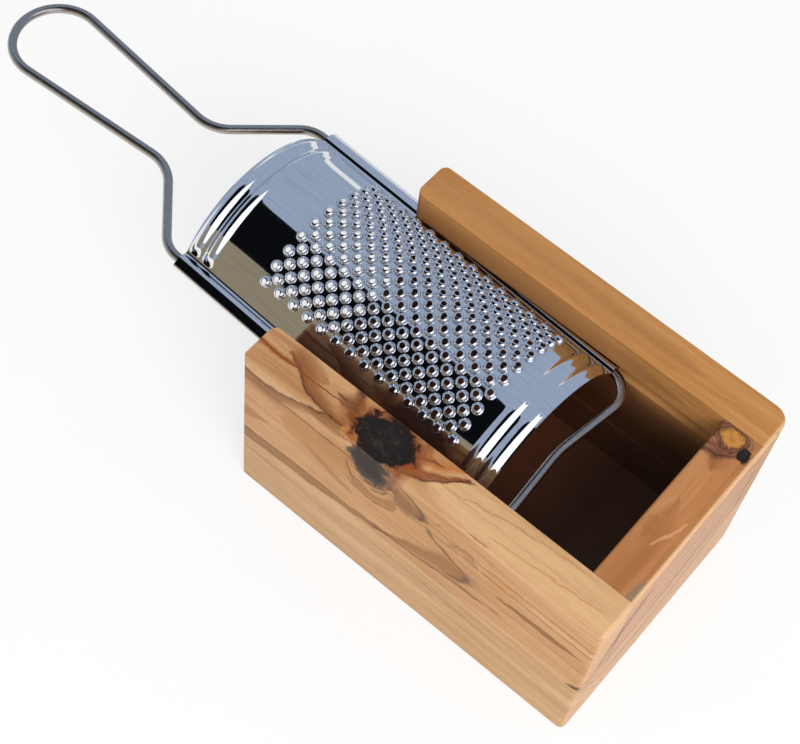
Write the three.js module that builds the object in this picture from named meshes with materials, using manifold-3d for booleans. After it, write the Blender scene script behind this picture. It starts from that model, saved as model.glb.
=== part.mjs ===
// A small hand grater that slides in grooves in the side walls of an olive wood box.
//
// The box is four glued pieces: a base block with a milled pocket for the gratings, two side
// walls and an end wall. The grater is one bent wire, which makes the handle, the two rails and
// the cross wire at the far end, and one arched sheet whose long edges are rolled round the rails.
//
// Millimetres. +Z is up, +X points to the box's closed end and +Y to its far wall. The origin is
// the middle of the box's underside.

import * as THREE from "three";
import { mergeVertices } from "three/addons/utils/BufferGeometryUtils.js";
import Module from "manifold-3d";

const wasm = await Module();
wasm.setup();

// The box
const boxLength = 89.5;
const boxWidth = 63;
const boxHeight = 51.5;
const sideWallThickness = 9.5;
const endWallThickness = 9.8;
const baseHeight = 22;
const glueGap = 0.2;

// The pocket in the base block
const pocketFloorHeight = 10;
const pocketFrontRim = 9.5;
const pocketInset = 0.4;
const pocketCornerRadius = 4;

// Corners and edges, sanded by hand and so not alike
const nearOpenCorner = 1;
const nearClosedCorner = 1.5;
const farClosedCorner = 3.8;
const farOpenCorner = 1.6;
const wallInnerCorner = 1.8;
const nearOpenTopEdge = 3;
const farOpenTopEdge = 1.4;
const outerEdge = 1.1;
const innerEdge = 0.7;

// The grooves that the rails run in
const grooveFloorBelowTop = 11.55;
const grooveDepth = 5.3;

// The wire
const wireDiameter = 2.1;
const railIntoGroove = 0.07;
const wireBeyondPlate = 6.05;
const wireEndGap = 0.4;
const crossWireDip = 2.45;
const crossWireCornerRadius = 6;
const crossWireDipRadius = 25;
const neckLength = 15.3;
const neckHalfWidth = 6.56;
const shoulderRadius = 7.2;
const neckRadius = 9.8;
const handleLength = 66;
const handleEndRadius = 10;
const handleLean = THREE.MathUtils.degToRad(1.76);

// The arched sheet
const plateLength = 81.55;
const plateFromShoulder = 4.35;
const sheetThickness = 0.4;
const runningGap = 0.3;
const archRise = 12.9;
const valleyRadius = 0.77;
const hemStartAngle = THREE.MathUtils.degToRad(122);
const hemEndAngle = THREE.MathUtils.degToRad(60);
const lipFlat = 1.2;
const lipRadius = 0.85;
const lipEndAngle = THREE.MathUtils.degToRad(-80);

// The pressed beads across each end of the sheet
const beadsPerEnd = 2;
const beadPitch = 3.7;
const beadHeight = 0.8;
const beadFadeLength = 2.6;

// The teeth: raised cones, pierced from below, with a sharp rim
const toothPitch = 3.95;
const rowPitch = 3.95;
const toothBaseRadius = 1.3;
const toothRimRadius = 0.58;
const toothMouthRadius = 0.95;
const toothHeight = 1.1;
const leadMargin = 9.53;
const leastTailMargin = 1.2;
const leastSideMargin = 3.5;

// How the grater lies in the box: part drawn out, and a little askew
const drawnOut = 17.8;
const graterSideShift = 1.13;
const graterSkew = THREE.MathUtils.degToRad(2.73);

// How finely round stretches are cut
const cornerSegments = 2;
const wireSides = 12;
const bendSteps = 5;
const handleEndSteps = 14;
const stationsPerBead = 5;
const valleySteps = 3;
const hemSteps = 4;
const lipSteps = 6;
const toothSides = 6;
const mouthSides = 4;

const weldTolerance = 1e-4;
const cutOverrun = 1;

// What follows from the driving dimensions
const wireRadius = wireDiameter / 2;
const hemInnerRadius = wireRadius + runningGap;
const hemOuterRadius = hemInnerRadius + sheetThickness;
const innerHalfWidth = boxWidth / 2 - sideWallThickness;
const endWallFace = boxLength / 2 - endWallThickness;
const railHalfSpan = innerHalfWidth + railIntoGroove;
const grooveFloor = boxHeight - grooveFloorBelowTop;
const railHeight = grooveFloor + runningGap + wireRadius;
const grooveHeight = wireRadius + hemOuterRadius + 2 * runningGap;
const railLength = plateFromShoulder + plateLength + wireBeyondPlate;
const plateEnd = plateFromShoulder + plateLength;
const plateMiddle = plateFromShoulder + plateLength / 2;

// Solids

function toSolid(geometry) {
  const bare = geometry.clone();
  bare.deleteAttribute("normal");
  bare.deleteAttribute("uv");
  const welded = mergeVertices(bare, weldTolerance);
  const mesh = new wasm.Mesh({
    numProp: 3,
    vertProperties: Float32Array.from(welded.attributes.position.array),
    triVerts: Uint32Array.from(welded.index.array),
  });
  return new wasm.Manifold(mesh);
}

function toGeometry(solid) {
  const mesh = solid.getMesh();
  const geometry = new THREE.BufferGeometry();
  geometry.setAttribute("position", new THREE.BufferAttribute(mesh.vertProperties, 3));
  geometry.setIndex(new THREE.BufferAttribute(mesh.triVerts, 1));
  geometry.computeVertexNormals();
  return geometry;
}

// A rectangle with its own radius at each corner, anticlockwise from the low left one.
function roundedRectangle(left, bottom, right, top, radii) {
  const corners = [[left, bottom, 1, 1], [right, bottom, -1, 1], [right, top, -1, -1], [left, top, 1, -1]];
  const shape = new THREE.Shape();
  corners.forEach(([x, y, inwardX, inwardY], index) => {
    const radius = radii[index];
    const startAngle = Math.PI + index * Math.PI / 2;
    const centreX = x + inwardX * radius;
    const centreY = y + inwardY * radius;
    const startX = centreX + radius * Math.cos(startAngle);
    const startY = centreY + radius * Math.sin(startAngle);
    if (index === 0) {
      shape.moveTo(startX, startY);
    } else {
      shape.lineTo(startX, startY);
    }
    if (radius > 0) {
      shape.absarc(centreX, centreY, radius, startAngle, startAngle + Math.PI / 2, false);
    }
  });
  shape.closePath();
  return shape;
}

function extruded(shape, depth) {
  return new THREE.ExtrudeGeometry(shape, { depth, bevelEnabled: false, curveSegments: cornerSegments });
}

// A block seen in plan, from the side and from its end, rounded in each view.
function sandedBlock(low, high, planRadii, sideRadii, endRadii) {
  const plan = extruded(roundedRectangle(low.x, low.y, high.x, high.y, planRadii), high.z - low.z);
  plan.translate(0, 0, low.z);

  const side = extruded(roundedRectangle(low.x, low.z, high.x, high.z, sideRadii), high.y - low.y);
  side.rotateX(Math.PI / 2);
  side.translate(0, high.y, 0);

  const end = extruded(roundedRectangle(low.y, low.z, high.y, high.z, endRadii), high.x - low.x);
  const facingX = new THREE.Matrix4().makeBasis(
    new THREE.Vector3(0, 1, 0), new THREE.Vector3(0, 0, 1), new THREE.Vector3(1, 0, 0));
  end.applyMatrix4(facingX);
  end.translate(low.x, 0, 0);

  return toSolid(plan).intersect(toSolid(side)).intersect(toSolid(end));
}

// The box's pieces

function baseBlock() {
  const low = new THREE.Vector3(-boxLength / 2, -boxWidth / 2, 0);
  const high = new THREE.Vector3(boxLength / 2, boxWidth / 2, baseHeight);
  const block = sandedBlock(
    low, high,
    [nearOpenCorner, nearClosedCorner, farClosedCorner, farOpenCorner],
    [outerEdge, outerEdge, 0, 0],
    [outerEdge, outerEdge, 0, 0]);

  const halfPocket = innerHalfWidth - pocketInset;
  const radius = pocketCornerRadius;
  const outline = roundedRectangle(
    pocketFrontRim - boxLength / 2, -halfPocket, endWallFace - pocketInset, halfPocket,
    [radius, radius, radius, radius]);
  const pocket = extruded(outline, baseHeight - pocketFloorHeight + cutOverrun);
  pocket.translate(0, 0, pocketFloorHeight);
  return toGeometry(block.subtract(toSolid(pocket)));
}

// A stopped groove in a side wall's inner face. The side is -1 for the near wall and 1 for the far one.
function groove(side) {
  const length = endWallFace + boxLength / 2 + cutOverrun;
  const depth = grooveDepth + cutOverrun;
  const slot = new THREE.BoxGeometry(length, depth, grooveHeight);
  const middleX = endWallFace - length / 2;
  const middleY = side * (innerHalfWidth + grooveDepth - depth / 2);
  slot.translate(middleX, middleY, grooveFloor + grooveHeight / 2);
  return toSolid(slot);
}

function nearSideWall() {
  const low = new THREE.Vector3(-boxLength / 2, -boxWidth / 2, baseHeight + glueGap);
  const high = new THREE.Vector3(boxLength / 2, -innerHalfWidth, boxHeight);
  const wall = sandedBlock(
    low, high,
    [nearOpenCorner, nearClosedCorner, 0, wallInnerCorner],
    [0, 0, outerEdge, nearOpenTopEdge],
    [0, 0, innerEdge, outerEdge]);
  return toGeometry(wall.subtract(groove(-1)));
}

function farSideWall() {
  const low = new THREE.Vector3(-boxLength / 2, innerHalfWidth, baseHeight + glueGap);
  const high = new THREE.Vector3(boxLength / 2, boxWidth / 2, boxHeight);
  const wall = sandedBlock(
    low, high,
    [wallInnerCorner, 0, farClosedCorner, farOpenCorner],
    [0, 0, outerEdge, farOpenTopEdge],
    [0, 0, outerEdge, innerEdge]);
  return toGeometry(wall.subtract(groove(1)));
}

function endWall() {
  const halfWidth = innerHalfWidth - glueGap;
  const low = new THREE.Vector3(endWallFace, -halfWidth, baseHeight + glueGap);
  const high = new THREE.Vector3(boxLength / 2, halfWidth, boxHeight);
  return toGeometry(sandedBlock(low, high, [0, 0, 0, 0], [0, 0, outerEdge, innerEdge], [0, 0, 0, 0]));
}

// The wire, in the grater's own frame: x along the rails from the handle's shoulders, z = 0 on
// the rails' plane.

// A route given by its stations, each a point and a direction, with one step between two of them.
class StationedRoute extends THREE.Curve {
  constructor(stations) {
    super();
    this.stations = stations;
  }

  between(t) {
    const place = t * (this.stations.length - 1);
    const first = Math.min(Math.floor(place), this.stations.length - 2);
    return [this.stations[first], this.stations[first + 1], place - first];
  }

  getPointAt(t, target = new THREE.Vector3()) {
    const [first, second, share] = this.between(t);
    return target.lerpVectors(first.point, second.point, share);
  }

  getTangentAt(t, target = new THREE.Vector3()) {
    const [first, second, share] = this.between(t);
    return target.lerpVectors(first.direction, second.direction, share).normalize();
  }
}

function station(x, y, directionX, directionY) {
  return {
    point: new THREE.Vector3(x, y, 0),
    direction: new THREE.Vector3(directionX, directionY, 0),
  };
}

// Stations along an arc that starts at one angle and turns through another, which may be negative.
function arcStations(centre, radius, startAngle, turn, steps) {
  const way = Math.sign(turn);
  return Array.from({ length: steps + 1 }, (_, index) => {
    const angle = startAngle + turn * index / steps;
    const x = centre.x + radius * Math.cos(angle);
    const y = centre.y + radius * Math.sin(angle);
    return station(x, y, -way * Math.sin(angle), way * Math.cos(angle));
  });
}

// Stations round the bend at a corner between two straights.
function bendStations(before, corner, after, radius) {
  const incoming = corner.clone().sub(before).normalize();
  const outgoing = after.clone().sub(corner).normalize();
  const way = Math.sign(incoming.cross(outgoing));
  const turn = way * Math.acos(incoming.dot(outgoing));
  const start = corner.clone().addScaledVector(incoming, -radius * Math.tan(Math.abs(turn) / 2));
  const toCentre = new THREE.Vector2(-incoming.y, incoming.x).multiplyScalar(way * radius);
  const centre = start.clone().add(toCentre);
  const startAngle = Math.atan2(-toCentre.y, -toCentre.x);
  return arcStations(centre, radius, startAngle, turn, bendSteps);
}

// The handle leans a little to one side, turned about the middle between the shoulders.
function leaning(x, y) {
  return new THREE.Vector2(x, y).rotateAround(new THREE.Vector2(), handleLean);
}

function wireStations() {
  const nearShoulder = new THREE.Vector2(0, -railHalfSpan);
  const nearNeck = leaning(-neckLength, -neckHalfWidth);
  const farNeck = leaning(-neckLength, neckHalfWidth);
  const farShoulder = new THREE.Vector2(0, railHalfSpan);
  const farCorner = new THREE.Vector2(railLength, railHalfSpan);
  const dip = new THREE.Vector2(railLength - crossWireDip, 0);
  const nearCorner = new THREE.Vector2(railLength, -railHalfSpan);

  // The handle's sides leave the necks tangent to its round end.
  const loopMiddle = handleEndRadius - handleLength;
  const loopCentre = leaning(loopMiddle, 0);
  const toNeck = new THREE.Vector2(-neckLength - loopMiddle, neckHalfWidth);
  const tangentAngle = toNeck.angle() + Math.acos(handleEndRadius / toNeck.length());
  const tangentX = loopMiddle + handleEndRadius * Math.cos(tangentAngle);
  const tangentY = handleEndRadius * Math.sin(tangentAngle);
  const nearTangent = leaning(tangentX, -tangentY);
  const farTangent = leaning(tangentX, tangentY);
  const loopStart = handleLean - tangentAngle;
  const loopTurn = 2 * (Math.PI - tangentAngle);

  const wireStart = new THREE.Vector2(plateMiddle - wireEndGap / 2, -railHalfSpan);
  const wireFinish = new THREE.Vector2(plateMiddle + wireEndGap / 2, -railHalfSpan);
  return [
    station(wireStart.x, wireStart.y, -1, 0),
    ...bendStations(wireStart, nearShoulder, nearNeck, shoulderRadius),
    ...bendStations(nearShoulder, nearNeck, nearTangent, neckRadius),
    ...arcStations(loopCentre, handleEndRadius, loopStart, -loopTurn, handleEndSteps),
    ...bendStations(farTangent, farNeck, farShoulder, neckRadius),
    ...bendStations(farNeck, farShoulder, farCorner, shoulderRadius),
    ...bendStations(farShoulder, farCorner, dip, crossWireCornerRadius),
    ...bendStations(farCorner, dip, nearCorner, crossWireDipRadius),
    ...bendStations(dip, nearCorner, wireFinish, crossWireCornerRadius),
    station(wireFinish.x, wireFinish.y, -1, 0),
  ];
}

function wireFrame() {
  const stations = wireStations();
  const outline = Array.from({ length: wireSides }, (_, index) => {
    const angle = 2 * Math.PI * index / wireSides;
    return new THREE.Vector2(wireRadius * Math.cos(angle), wireRadius * Math.sin(angle));
  });
  return new THREE.ExtrudeGeometry(new THREE.Shape(outline), {
    steps: stations.length - 1,
    extrudePath: new StationedRoute(stations),
    bevelEnabled: false,
  });
}

// The arched sheet, in the wire's frame.
//
// Its section, from the middle outwards, is the arch, a narrow valley, the hem over the rail and a
// lip, which slopes outwards flat and then curls down. All are arcs tangent to each other. Angles on
// the arch are measured from its crown, those of the valley, the hem and the lip from +y.

const valleyCentre = new THREE.Vector2(
  railHalfSpan + (hemOuterRadius + valleyRadius) * Math.cos(hemStartAngle),
  (hemOuterRadius + valleyRadius) * Math.sin(hemStartAngle));
const crownAboveValley = archRise - valleyCentre.y;
const archRadius = (valleyCentre.x ** 2 + crownAboveValley ** 2 - valleyRadius ** 2)
  / (2 * (crownAboveValley + valleyRadius));
const archCentreHeight = archRise - archRadius;
const archEndAngle = Math.atan2(valleyCentre.x, valleyCentre.y - archCentreHeight);
const lipCentre = new THREE.Vector2(
  railHalfSpan + (hemOuterRadius - lipRadius) * Math.cos(hemEndAngle) + lipFlat * Math.sin(hemEndAngle),
  (hemOuterRadius - lipRadius) * Math.sin(hemEndAngle) - lipFlat * Math.cos(hemEndAngle));

// A place on the sheet has a point on its outer face and one on its inner face.
function onArch(x, angle, lift) {
  const at = (radius) => new THREE.Vector3(
    x, radius * Math.sin(angle), archCentreHeight + radius * Math.cos(angle));
  const outerRadius = archRadius + lift;
  return { outer: at(outerRadius), inner: at(outerRadius - sheetThickness) };
}

function onSideArc(x, side, centre, angle, outerRadius, innerRadius) {
  const at = (radius) => new THREE.Vector3(
    x, side * (centre.x + radius * Math.cos(angle)), centre.y + radius * Math.sin(angle));
  return { outer: at(outerRadius), inner: at(innerRadius) };
}

// Makers of the places beyond the arch's edge, in order outwards: down the valley, over the hem and
// round the lip.
function edgeMakers(side) {
  const hemCentre = new THREE.Vector2(railHalfSpan, 0);
  const valleyStart = -Math.PI / 2 - archEndAngle;
  const valleyFinish = hemStartAngle - Math.PI;
  const makers = [];
  for (let step = 1; step < valleySteps; step += 1) {
    const angle = valleyStart + (valleyFinish - valleyStart) * step / valleySteps;
    makers.push((x) => onSideArc(
      x, side, valleyCentre, angle, valleyRadius, valleyRadius + sheetThickness));
  }
  for (let step = 0; step <= hemSteps; step += 1) {
    const angle = hemStartAngle + (hemEndAngle - hemStartAngle) * step / hemSteps;
    makers.push((x) => onSideArc(x, side, hemCentre, angle, hemOuterRadius, hemInnerRadius));
  }
  for (let step = 0; step <= lipSteps; step += 1) {
    const angle = hemEndAngle + (lipEndAngle - hemEndAngle) * step / lipSteps;
    makers.push((x) => onSideArc(x, side, lipCentre, angle, lipRadius, lipRadius - sheetThickness));
  }
  return makers;
}

// Triangles of a thin closed sheet. Each is given anticlockwise as seen from outside.
class Sheet {
  constructor() {
    this.positions = [];
  }

  triangle(a, b, c) {
    for (const point of [a, b, c]) {
      this.positions.push(point.x, point.y, point.z);
    }
  }

  quad(a, b, c, d) {
    this.triangle(a, b, c);
    this.triangle(a, c, d);
  }

  // One triangle on the outer face and the one behind it on the inner face.
  patch(a, b, c) {
    this.triangle(a.outer, b.outer, c.outer);
    this.triangle(c.inner, b.inner, a.inner);
  }

  // The strip between two lines of places that both run towards +x, the second on the left.
  zip(right, left) {
    let r = 0;
    let l = 0;
    while (r < right.length - 1 || l < left.length - 1) {
      const rightNext = r < right.length - 1 ? right[r + 1].outer.x : Infinity;
      const leftNext = l < left.length - 1 ? left[l + 1].outer.x : Infinity;
      if (rightNext <= leftNext) {
        this.patch(right[r], right[r + 1], left[l]);
        r += 1;
      } else {
        this.patch(right[r], left[l + 1], left[l]);
        l += 1;
      }
    }
  }

  // The ring between two loops of corners, each with its bearing, anticlockwise as add sees them.
  ring(outside, inside, add) {
    let o = 0;
    let i = 0;
    const fullTurn = 2 * Math.PI;
    const bearing = (loop, index) => loop[index % loop.length].bearing
      + fullTurn * Math.floor(index / loop.length);
    const corner = (loop, index) => loop[index % loop.length].point;
    while (o < outside.length || i < inside.length) {
      const outsideFirst = o < outside.length
        && (i >= inside.length || bearing(outside, o + 1) <= bearing(inside, i + 1));
      if (outsideFirst) {
        add(corner(outside, o), corner(outside, o + 1), corner(inside, i));
        o += 1;
      } else {
        add(corner(outside, o), corner(inside, i + 1), corner(inside, i));
        i += 1;
      }
    }
  }

  geometry() {
    const loose = new THREE.BufferGeometry();
    loose.setAttribute("position", new THREE.Float32BufferAttribute(this.positions, 3));
    const welded = mergeVertices(loose, weldTolerance);
    welded.computeVertexNormals();
    return welded;
  }
}

// The field of teeth is a chequerboard: whole rows of teeth, and between them rows with one
// tooth less, half a pitch along. Each tooth stands in a lozenge whose corners it shares.
const halfPitch = toothPitch / 2;
const halfRowAngle = rowPitch / 2 / archRadius;
const beadBand = beadsPerEnd * beadPitch;
const fieldStart = plateFromShoulder + beadBand + leadMargin;
const fieldRoom = plateEnd - beadBand - leastTailMargin - fieldStart;
const teethPerRow = Math.max(1, Math.floor(fieldRoom / toothPitch));
const fieldEnd = fieldStart + teethPerRow * toothPitch;
const rowsToEdge = Math.max(1, Math.floor((archEndAngle * archRadius - leastSideMargin) / (rowPitch / 2)));
const fieldEdgeAngle = rowsToEdge * halfRowAngle;

function toothLoop(x, angle, radius, lift, sides, face) {
  return Array.from({ length: sides }, (_, index) => {
    const bearing = 2 * Math.PI * index / sides;
    const along = x + radius * Math.cos(bearing);
    const round = angle + radius * Math.sin(bearing) / archRadius;
    return { bearing, point: onArch(along, round, lift)[face] };
  });
}

function lozenge(x, angle, face) {
  const corners = [[halfPitch, 0], [0, halfRowAngle], [-halfPitch, 0], [0, -halfRowAngle]];
  return corners.map(([along, round], index) => ({
    bearing: index * Math.PI / 2,
    point: onArch(x + along, angle + round, 0)[face],
  }));
}

function addTooth(sheet, x, angle) {
  const outward = (a, b, c) => sheet.triangle(a, b, c);
  const inward = (a, b, c) => sheet.triangle(c, b, a);
  const foot = toothLoop(x, angle, toothBaseRadius, 0, toothSides, "outer");
  const rim = toothLoop(x, angle, toothRimRadius, toothHeight, toothSides, "outer");
  const mouth = toothLoop(x, angle, toothMouthRadius, 0, mouthSides, "inner");
  sheet.ring(lozenge(x, angle, "outer"), foot, outward);
  sheet.ring(foot, rim, outward);
  sheet.ring(lozenge(x, angle, "inner"), mouth, inward);
  sheet.ring(mouth, rim, inward);
}

function addTeeth(sheet) {
  for (let row = 1 - rowsToEdge; row < rowsToEdge; row += 1) {
    const wholeRow = (row + rowsToEdge) % 2 !== 0;
    const count = wholeRow ? teethPerRow : teethPerRow - 1;
    const first = fieldStart + (wholeRow ? halfPitch : toothPitch);
    for (let tooth = 0; tooth < count; tooth += 1) {
      addTooth(sheet, first + tooth * toothPitch, row * halfRowAngle);
    }
  }
}

// Angles of the whole rows, where the field's lozenges point at the sheet's ends.
function wholeRowAngles() {
  return Array.from({ length: rowsToEdge }, (_, index) => (2 * index + 1 - rowsToEdge) * halfRowAngle);
}

// The notches round the field are filled, so that its border is a rectangle on the arch.
function fillNotches(sheet) {
  const flat = (x, angle) => onArch(x, angle, 0);
  const angles = wholeRowAngles();
  for (let index = 0; index < angles.length - 1; index += 1) {
    const low = angles[index];
    const high = angles[index + 1];
    const middle = low + halfRowAngle;
    sheet.patch(flat(fieldStart, low), flat(fieldStart + halfPitch, middle), flat(fieldStart, high));
    sheet.patch(flat(fieldEnd, high), flat(fieldEnd - halfPitch, middle), flat(fieldEnd, low));
  }
  const lastRow = fieldEdgeAngle - halfRowAngle;
  for (let tooth = 1; tooth < teethPerRow; tooth += 1) {
    const notch = fieldStart + tooth * toothPitch;
    const before = notch - halfPitch;
    const after = notch + halfPitch;
    sheet.patch(flat(before, fieldEdgeAngle), flat(notch, lastRow), flat(after, fieldEdgeAngle));
    sheet.patch(flat(after, -fieldEdgeAngle), flat(notch, -lastRow), flat(before, -fieldEdgeAngle));
  }
  for (const [corner, inward] of [[fieldStart, 1], [fieldEnd, -1]]) {
    for (const side of [-1, 1]) {
      const tip = flat(corner, side * lastRow);
      const edge = flat(corner + inward * halfPitch, side * fieldEdgeAngle);
      const outermost = flat(corner, side * fieldEdgeAngle);
      if (inward * side > 0) {
        sheet.patch(tip, edge, outermost);
      } else {
        sheet.patch(outermost, edge, tip);
      }
    }
  }
}

// Height of the beads: rounded ribs side by side, which fade out before the valley.
function beadLift(x, angle) {
  const fromEnd = Math.min(x - plateFromShoulder, plateEnd - x);
  if (fromEnd >= beadBand - weldTolerance) {
    return 0;
  }
  const toValley = (archEndAngle - Math.abs(angle)) * archRadius;
  const fade = THREE.MathUtils.smoothstep(toValley, 0, beadFadeLength);
  const rise = (1 - Math.cos(2 * Math.PI * fromEnd / beadPitch)) / 2;
  return beadHeight * fade * rise;
}

function beadPlaces() {
  const count = beadsPerEnd * stationsPerBead;
  return Array.from({ length: count + 1 }, (_, index) => index * beadPitch / stationsPerBead);
}

function graterPlate() {
  const sheet = new Sheet();
  addTeeth(sheet);
  fillNotches(sheet);

  // The plain and beaded stretches between the field and the sheet's two ends.
  const startLines = [...beadPlaces().map((place) => plateFromShoulder + place), fieldStart];
  const endLines = [fieldEnd, ...beadPlaces().reverse().map((place) => plateEnd - place)];
  const fadeAngle = archEndAngle - beadFadeLength / archRadius;
  const borderMiddle = (fieldEdgeAngle + archEndAngle) / 2;
  const sideAngles = [fieldEdgeAngle, Math.max(fadeAngle, borderMiddle), archEndAngle];
  const angles = [...sideAngles.map((angle) => -angle).reverse(), ...wholeRowAngles(), ...sideAngles];
  for (const lines of [startLines, endLines]) {
    for (let index = 0; index < angles.length - 1; index += 1) {
      const lineAt = (angle) => lines.map((x) => onArch(x, angle, beadLift(x, angle)));
      sheet.zip(lineAt(angles[index]), lineAt(angles[index + 1]));
    }
  }

  // The plain stretches beside the field.
  const tipPlaces = Array.from({ length: teethPerRow }, (_, index) => (
    fieldStart + halfPitch + index * toothPitch));
  const borderPlaces = [fieldStart, ...tipPlaces, fieldEnd];
  const places = [borderPlaces, [fieldStart, fieldEnd], [fieldStart, fieldEnd]];
  for (let index = 0; index < sideAngles.length - 1; index += 1) {
    const lineAt = (step, side) => places[step].map((x) => onArch(x, side * sideAngles[step], 0));
    sheet.zip(lineAt(index, 1), lineAt(index + 1, 1));
    sheet.zip(lineAt(index + 1, -1), lineAt(index, -1));
  }

  // The valleys and the hems, which run straight from end to end.
  const edgeLine = (side) => [...startLines, ...endLines].map((x) => onArch(x, side * archEndAngle, 0));
  for (const side of [-1, 1]) {
    let line = edgeLine(side);
    for (const maker of edgeMakers(side)) {
      const next = [maker(plateFromShoulder), maker(plateEnd)];
      if (side > 0) {
        sheet.zip(line, next);
      } else {
        sheet.zip(next, line);
      }
      line = next;
    }
    const [start, finish] = line;
    if (side > 0) {
      sheet.quad(finish.outer, finish.inner, start.inner, start.outer);
    } else {
      sheet.quad(start.outer, start.inner, finish.inner, finish.outer);
    }
  }

  // The cut ends.
  const section = (x) => [
    ...edgeMakers(-1).reverse().map((maker) => maker(x)),
    ...angles.map((angle) => onArch(x, angle, beadLift(x, angle))),
    ...edgeMakers(1).map((maker) => maker(x)),
  ];
  const startSection = section(plateFromShoulder);
  const endSection = section(plateEnd);
  for (let index = 0; index < startSection.length - 1; index += 1) {
    const [a, b] = [startSection[index], startSection[index + 1]];
    sheet.quad(a.outer, b.outer, b.inner, a.inner);
    const [c, d] = [endSection[index], endSection[index + 1]];
    sheet.quad(d.outer, c.outer, c.inner, d.inner);
  }
  return sheet.geometry();
}

// The scene

function named(name, geometry, color, roughness, metalness) {
  const mesh = new THREE.Mesh(geometry, new THREE.MeshStandardMaterial({ color, roughness, metalness }));
  mesh.name = name;
  return mesh;
}

const woodRoughness = 0.55;
const box = new THREE.Group();
box.add(
  named("base_block", baseBlock(), 0xd0a983, woodRoughness, 0),
  named("near_side_wall", nearSideWall(), 0xc79a68, woodRoughness, 0),
  named("far_side_wall", farSideWall(), 0xbe8a57, woodRoughness, 0),
  named("end_wall", endWall(), 0xb8814f, woodRoughness, 0));

const graterParts = new THREE.Group();
graterParts.add(
  named("wire_frame", wireFrame(), 0x8a8a92, 0.35, 1),
  named("grater_plate", graterPlate(), 0xbcc1ca, 0.12, 1));
graterParts.position.x = -plateMiddle;

// The grater turns about its plate's middle, which lies so that the cross wire's far corner is
// the distance drawn out from the end wall.
const cornerReach = (railLength + wireRadius - plateMiddle) * Math.cos(graterSkew)
  + railHalfSpan * Math.sin(graterSkew);
const grater = new THREE.Group();
grater.add(graterParts);
grater.rotation.z = -graterSkew;
grater.position.set(endWallFace - drawnOut - cornerReach, graterSideShift, railHeight);

const product = new THREE.Group();
product.add(box, grater);

export default product;
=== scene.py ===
"""A hand grater in its olive wood box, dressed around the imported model.

Sizes are written in millimetres and become metres where a mesh is made. The grater's parts are
laid out in the grater's own frame, with u along the rails from the handle's shoulders, v across
and w up from the rails' plane, and are then put where the grater lies in the box.
"""

import logging
import math
import random
from dataclasses import dataclass, field
from enum import Enum
from typing import Callable, Iterable, Sequence

import bmesh
import bpy
from mathutils import Matrix, Vector

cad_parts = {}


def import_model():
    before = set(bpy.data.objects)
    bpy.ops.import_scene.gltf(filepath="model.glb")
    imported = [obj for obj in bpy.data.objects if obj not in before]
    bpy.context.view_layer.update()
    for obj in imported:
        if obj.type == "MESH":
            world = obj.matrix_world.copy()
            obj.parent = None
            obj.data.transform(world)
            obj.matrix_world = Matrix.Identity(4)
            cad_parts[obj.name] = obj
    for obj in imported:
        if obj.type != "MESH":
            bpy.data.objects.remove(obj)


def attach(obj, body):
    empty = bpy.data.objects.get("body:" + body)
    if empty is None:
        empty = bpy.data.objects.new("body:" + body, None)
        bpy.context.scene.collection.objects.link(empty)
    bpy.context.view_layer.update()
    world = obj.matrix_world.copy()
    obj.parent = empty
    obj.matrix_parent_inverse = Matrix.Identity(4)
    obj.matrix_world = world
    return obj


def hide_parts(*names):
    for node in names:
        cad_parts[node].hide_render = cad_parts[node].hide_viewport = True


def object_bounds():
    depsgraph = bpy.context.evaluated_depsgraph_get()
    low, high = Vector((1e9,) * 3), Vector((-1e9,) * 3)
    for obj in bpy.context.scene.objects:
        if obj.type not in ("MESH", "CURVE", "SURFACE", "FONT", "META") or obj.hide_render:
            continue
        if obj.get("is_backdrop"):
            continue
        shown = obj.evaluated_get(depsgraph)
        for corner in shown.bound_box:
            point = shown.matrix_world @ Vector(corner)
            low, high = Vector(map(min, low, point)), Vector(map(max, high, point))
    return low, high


LOG = logging.getLogger("grater")
MM = 0.001
IMAGE_WIDTH = 800

# How far apart two places may lie, in millimetres, and still count as one
NEARLY = 0.1


class Body(Enum):
    """The two rigid bodies of the object."""

    BOX = "box"
    GRATER = "grater"


class Side(Enum):
    """Which side of the middle plane a piece lies on."""

    NEAR = -1
    FAR = 1


# Modelling helpers


def deselect_all() -> None:
    """Leave object mode with nothing selected."""
    if bpy.context.object is not None and bpy.context.object.mode != "OBJECT":
        bpy.ops.object.mode_set(mode="OBJECT")
    bpy.ops.object.select_all(action="DESELECT")


def make_active(piece: bpy.types.Object) -> None:
    """Select one object alone and make it the active one.

    Args:
        piece: The object to work on.
    """
    deselect_all()
    piece.select_set(True)
    bpy.context.view_layer.objects.active = piece


def apply_modifier(piece: bpy.types.Object, kind: str, name: str, **settings: object) -> None:
    """Add a modifier with its settings and apply it at once.

    Args:
        piece: The object that gets the modifier.
        kind: Blender's name for the modifier's type.
        name: A plain name for the modifier.
        **settings: The modifier's properties by name.
    """
    make_active(piece)
    modifier = piece.modifiers.new(name, kind)
    for key, value in settings.items():
        setattr(modifier, key, value)
    bpy.ops.object.modifier_apply(modifier=modifier.name)


def select_edges(piece: bpy.types.Object, wanted: Callable[[Vector, Vector], bool]) -> int:
    """Select the edges that a test on their two ends picks, in edit mode.

    Args:
        piece: The active object, in edit mode.
        wanted: A test that takes an edge's two ends, in metres.

    Returns:
        How many edges were selected.
    """
    shape = bmesh.from_edit_mesh(piece.data)
    count = 0
    for edge in shape.edges:
        start, end = (vertex.co for vertex in edge.verts)
        edge.select_set(False)
        if wanted(start, end):
            edge.select_set(True)
            count += 1
    shape.select_flush_mode()
    bmesh.update_edit_mesh(piece.data)
    return count


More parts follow.
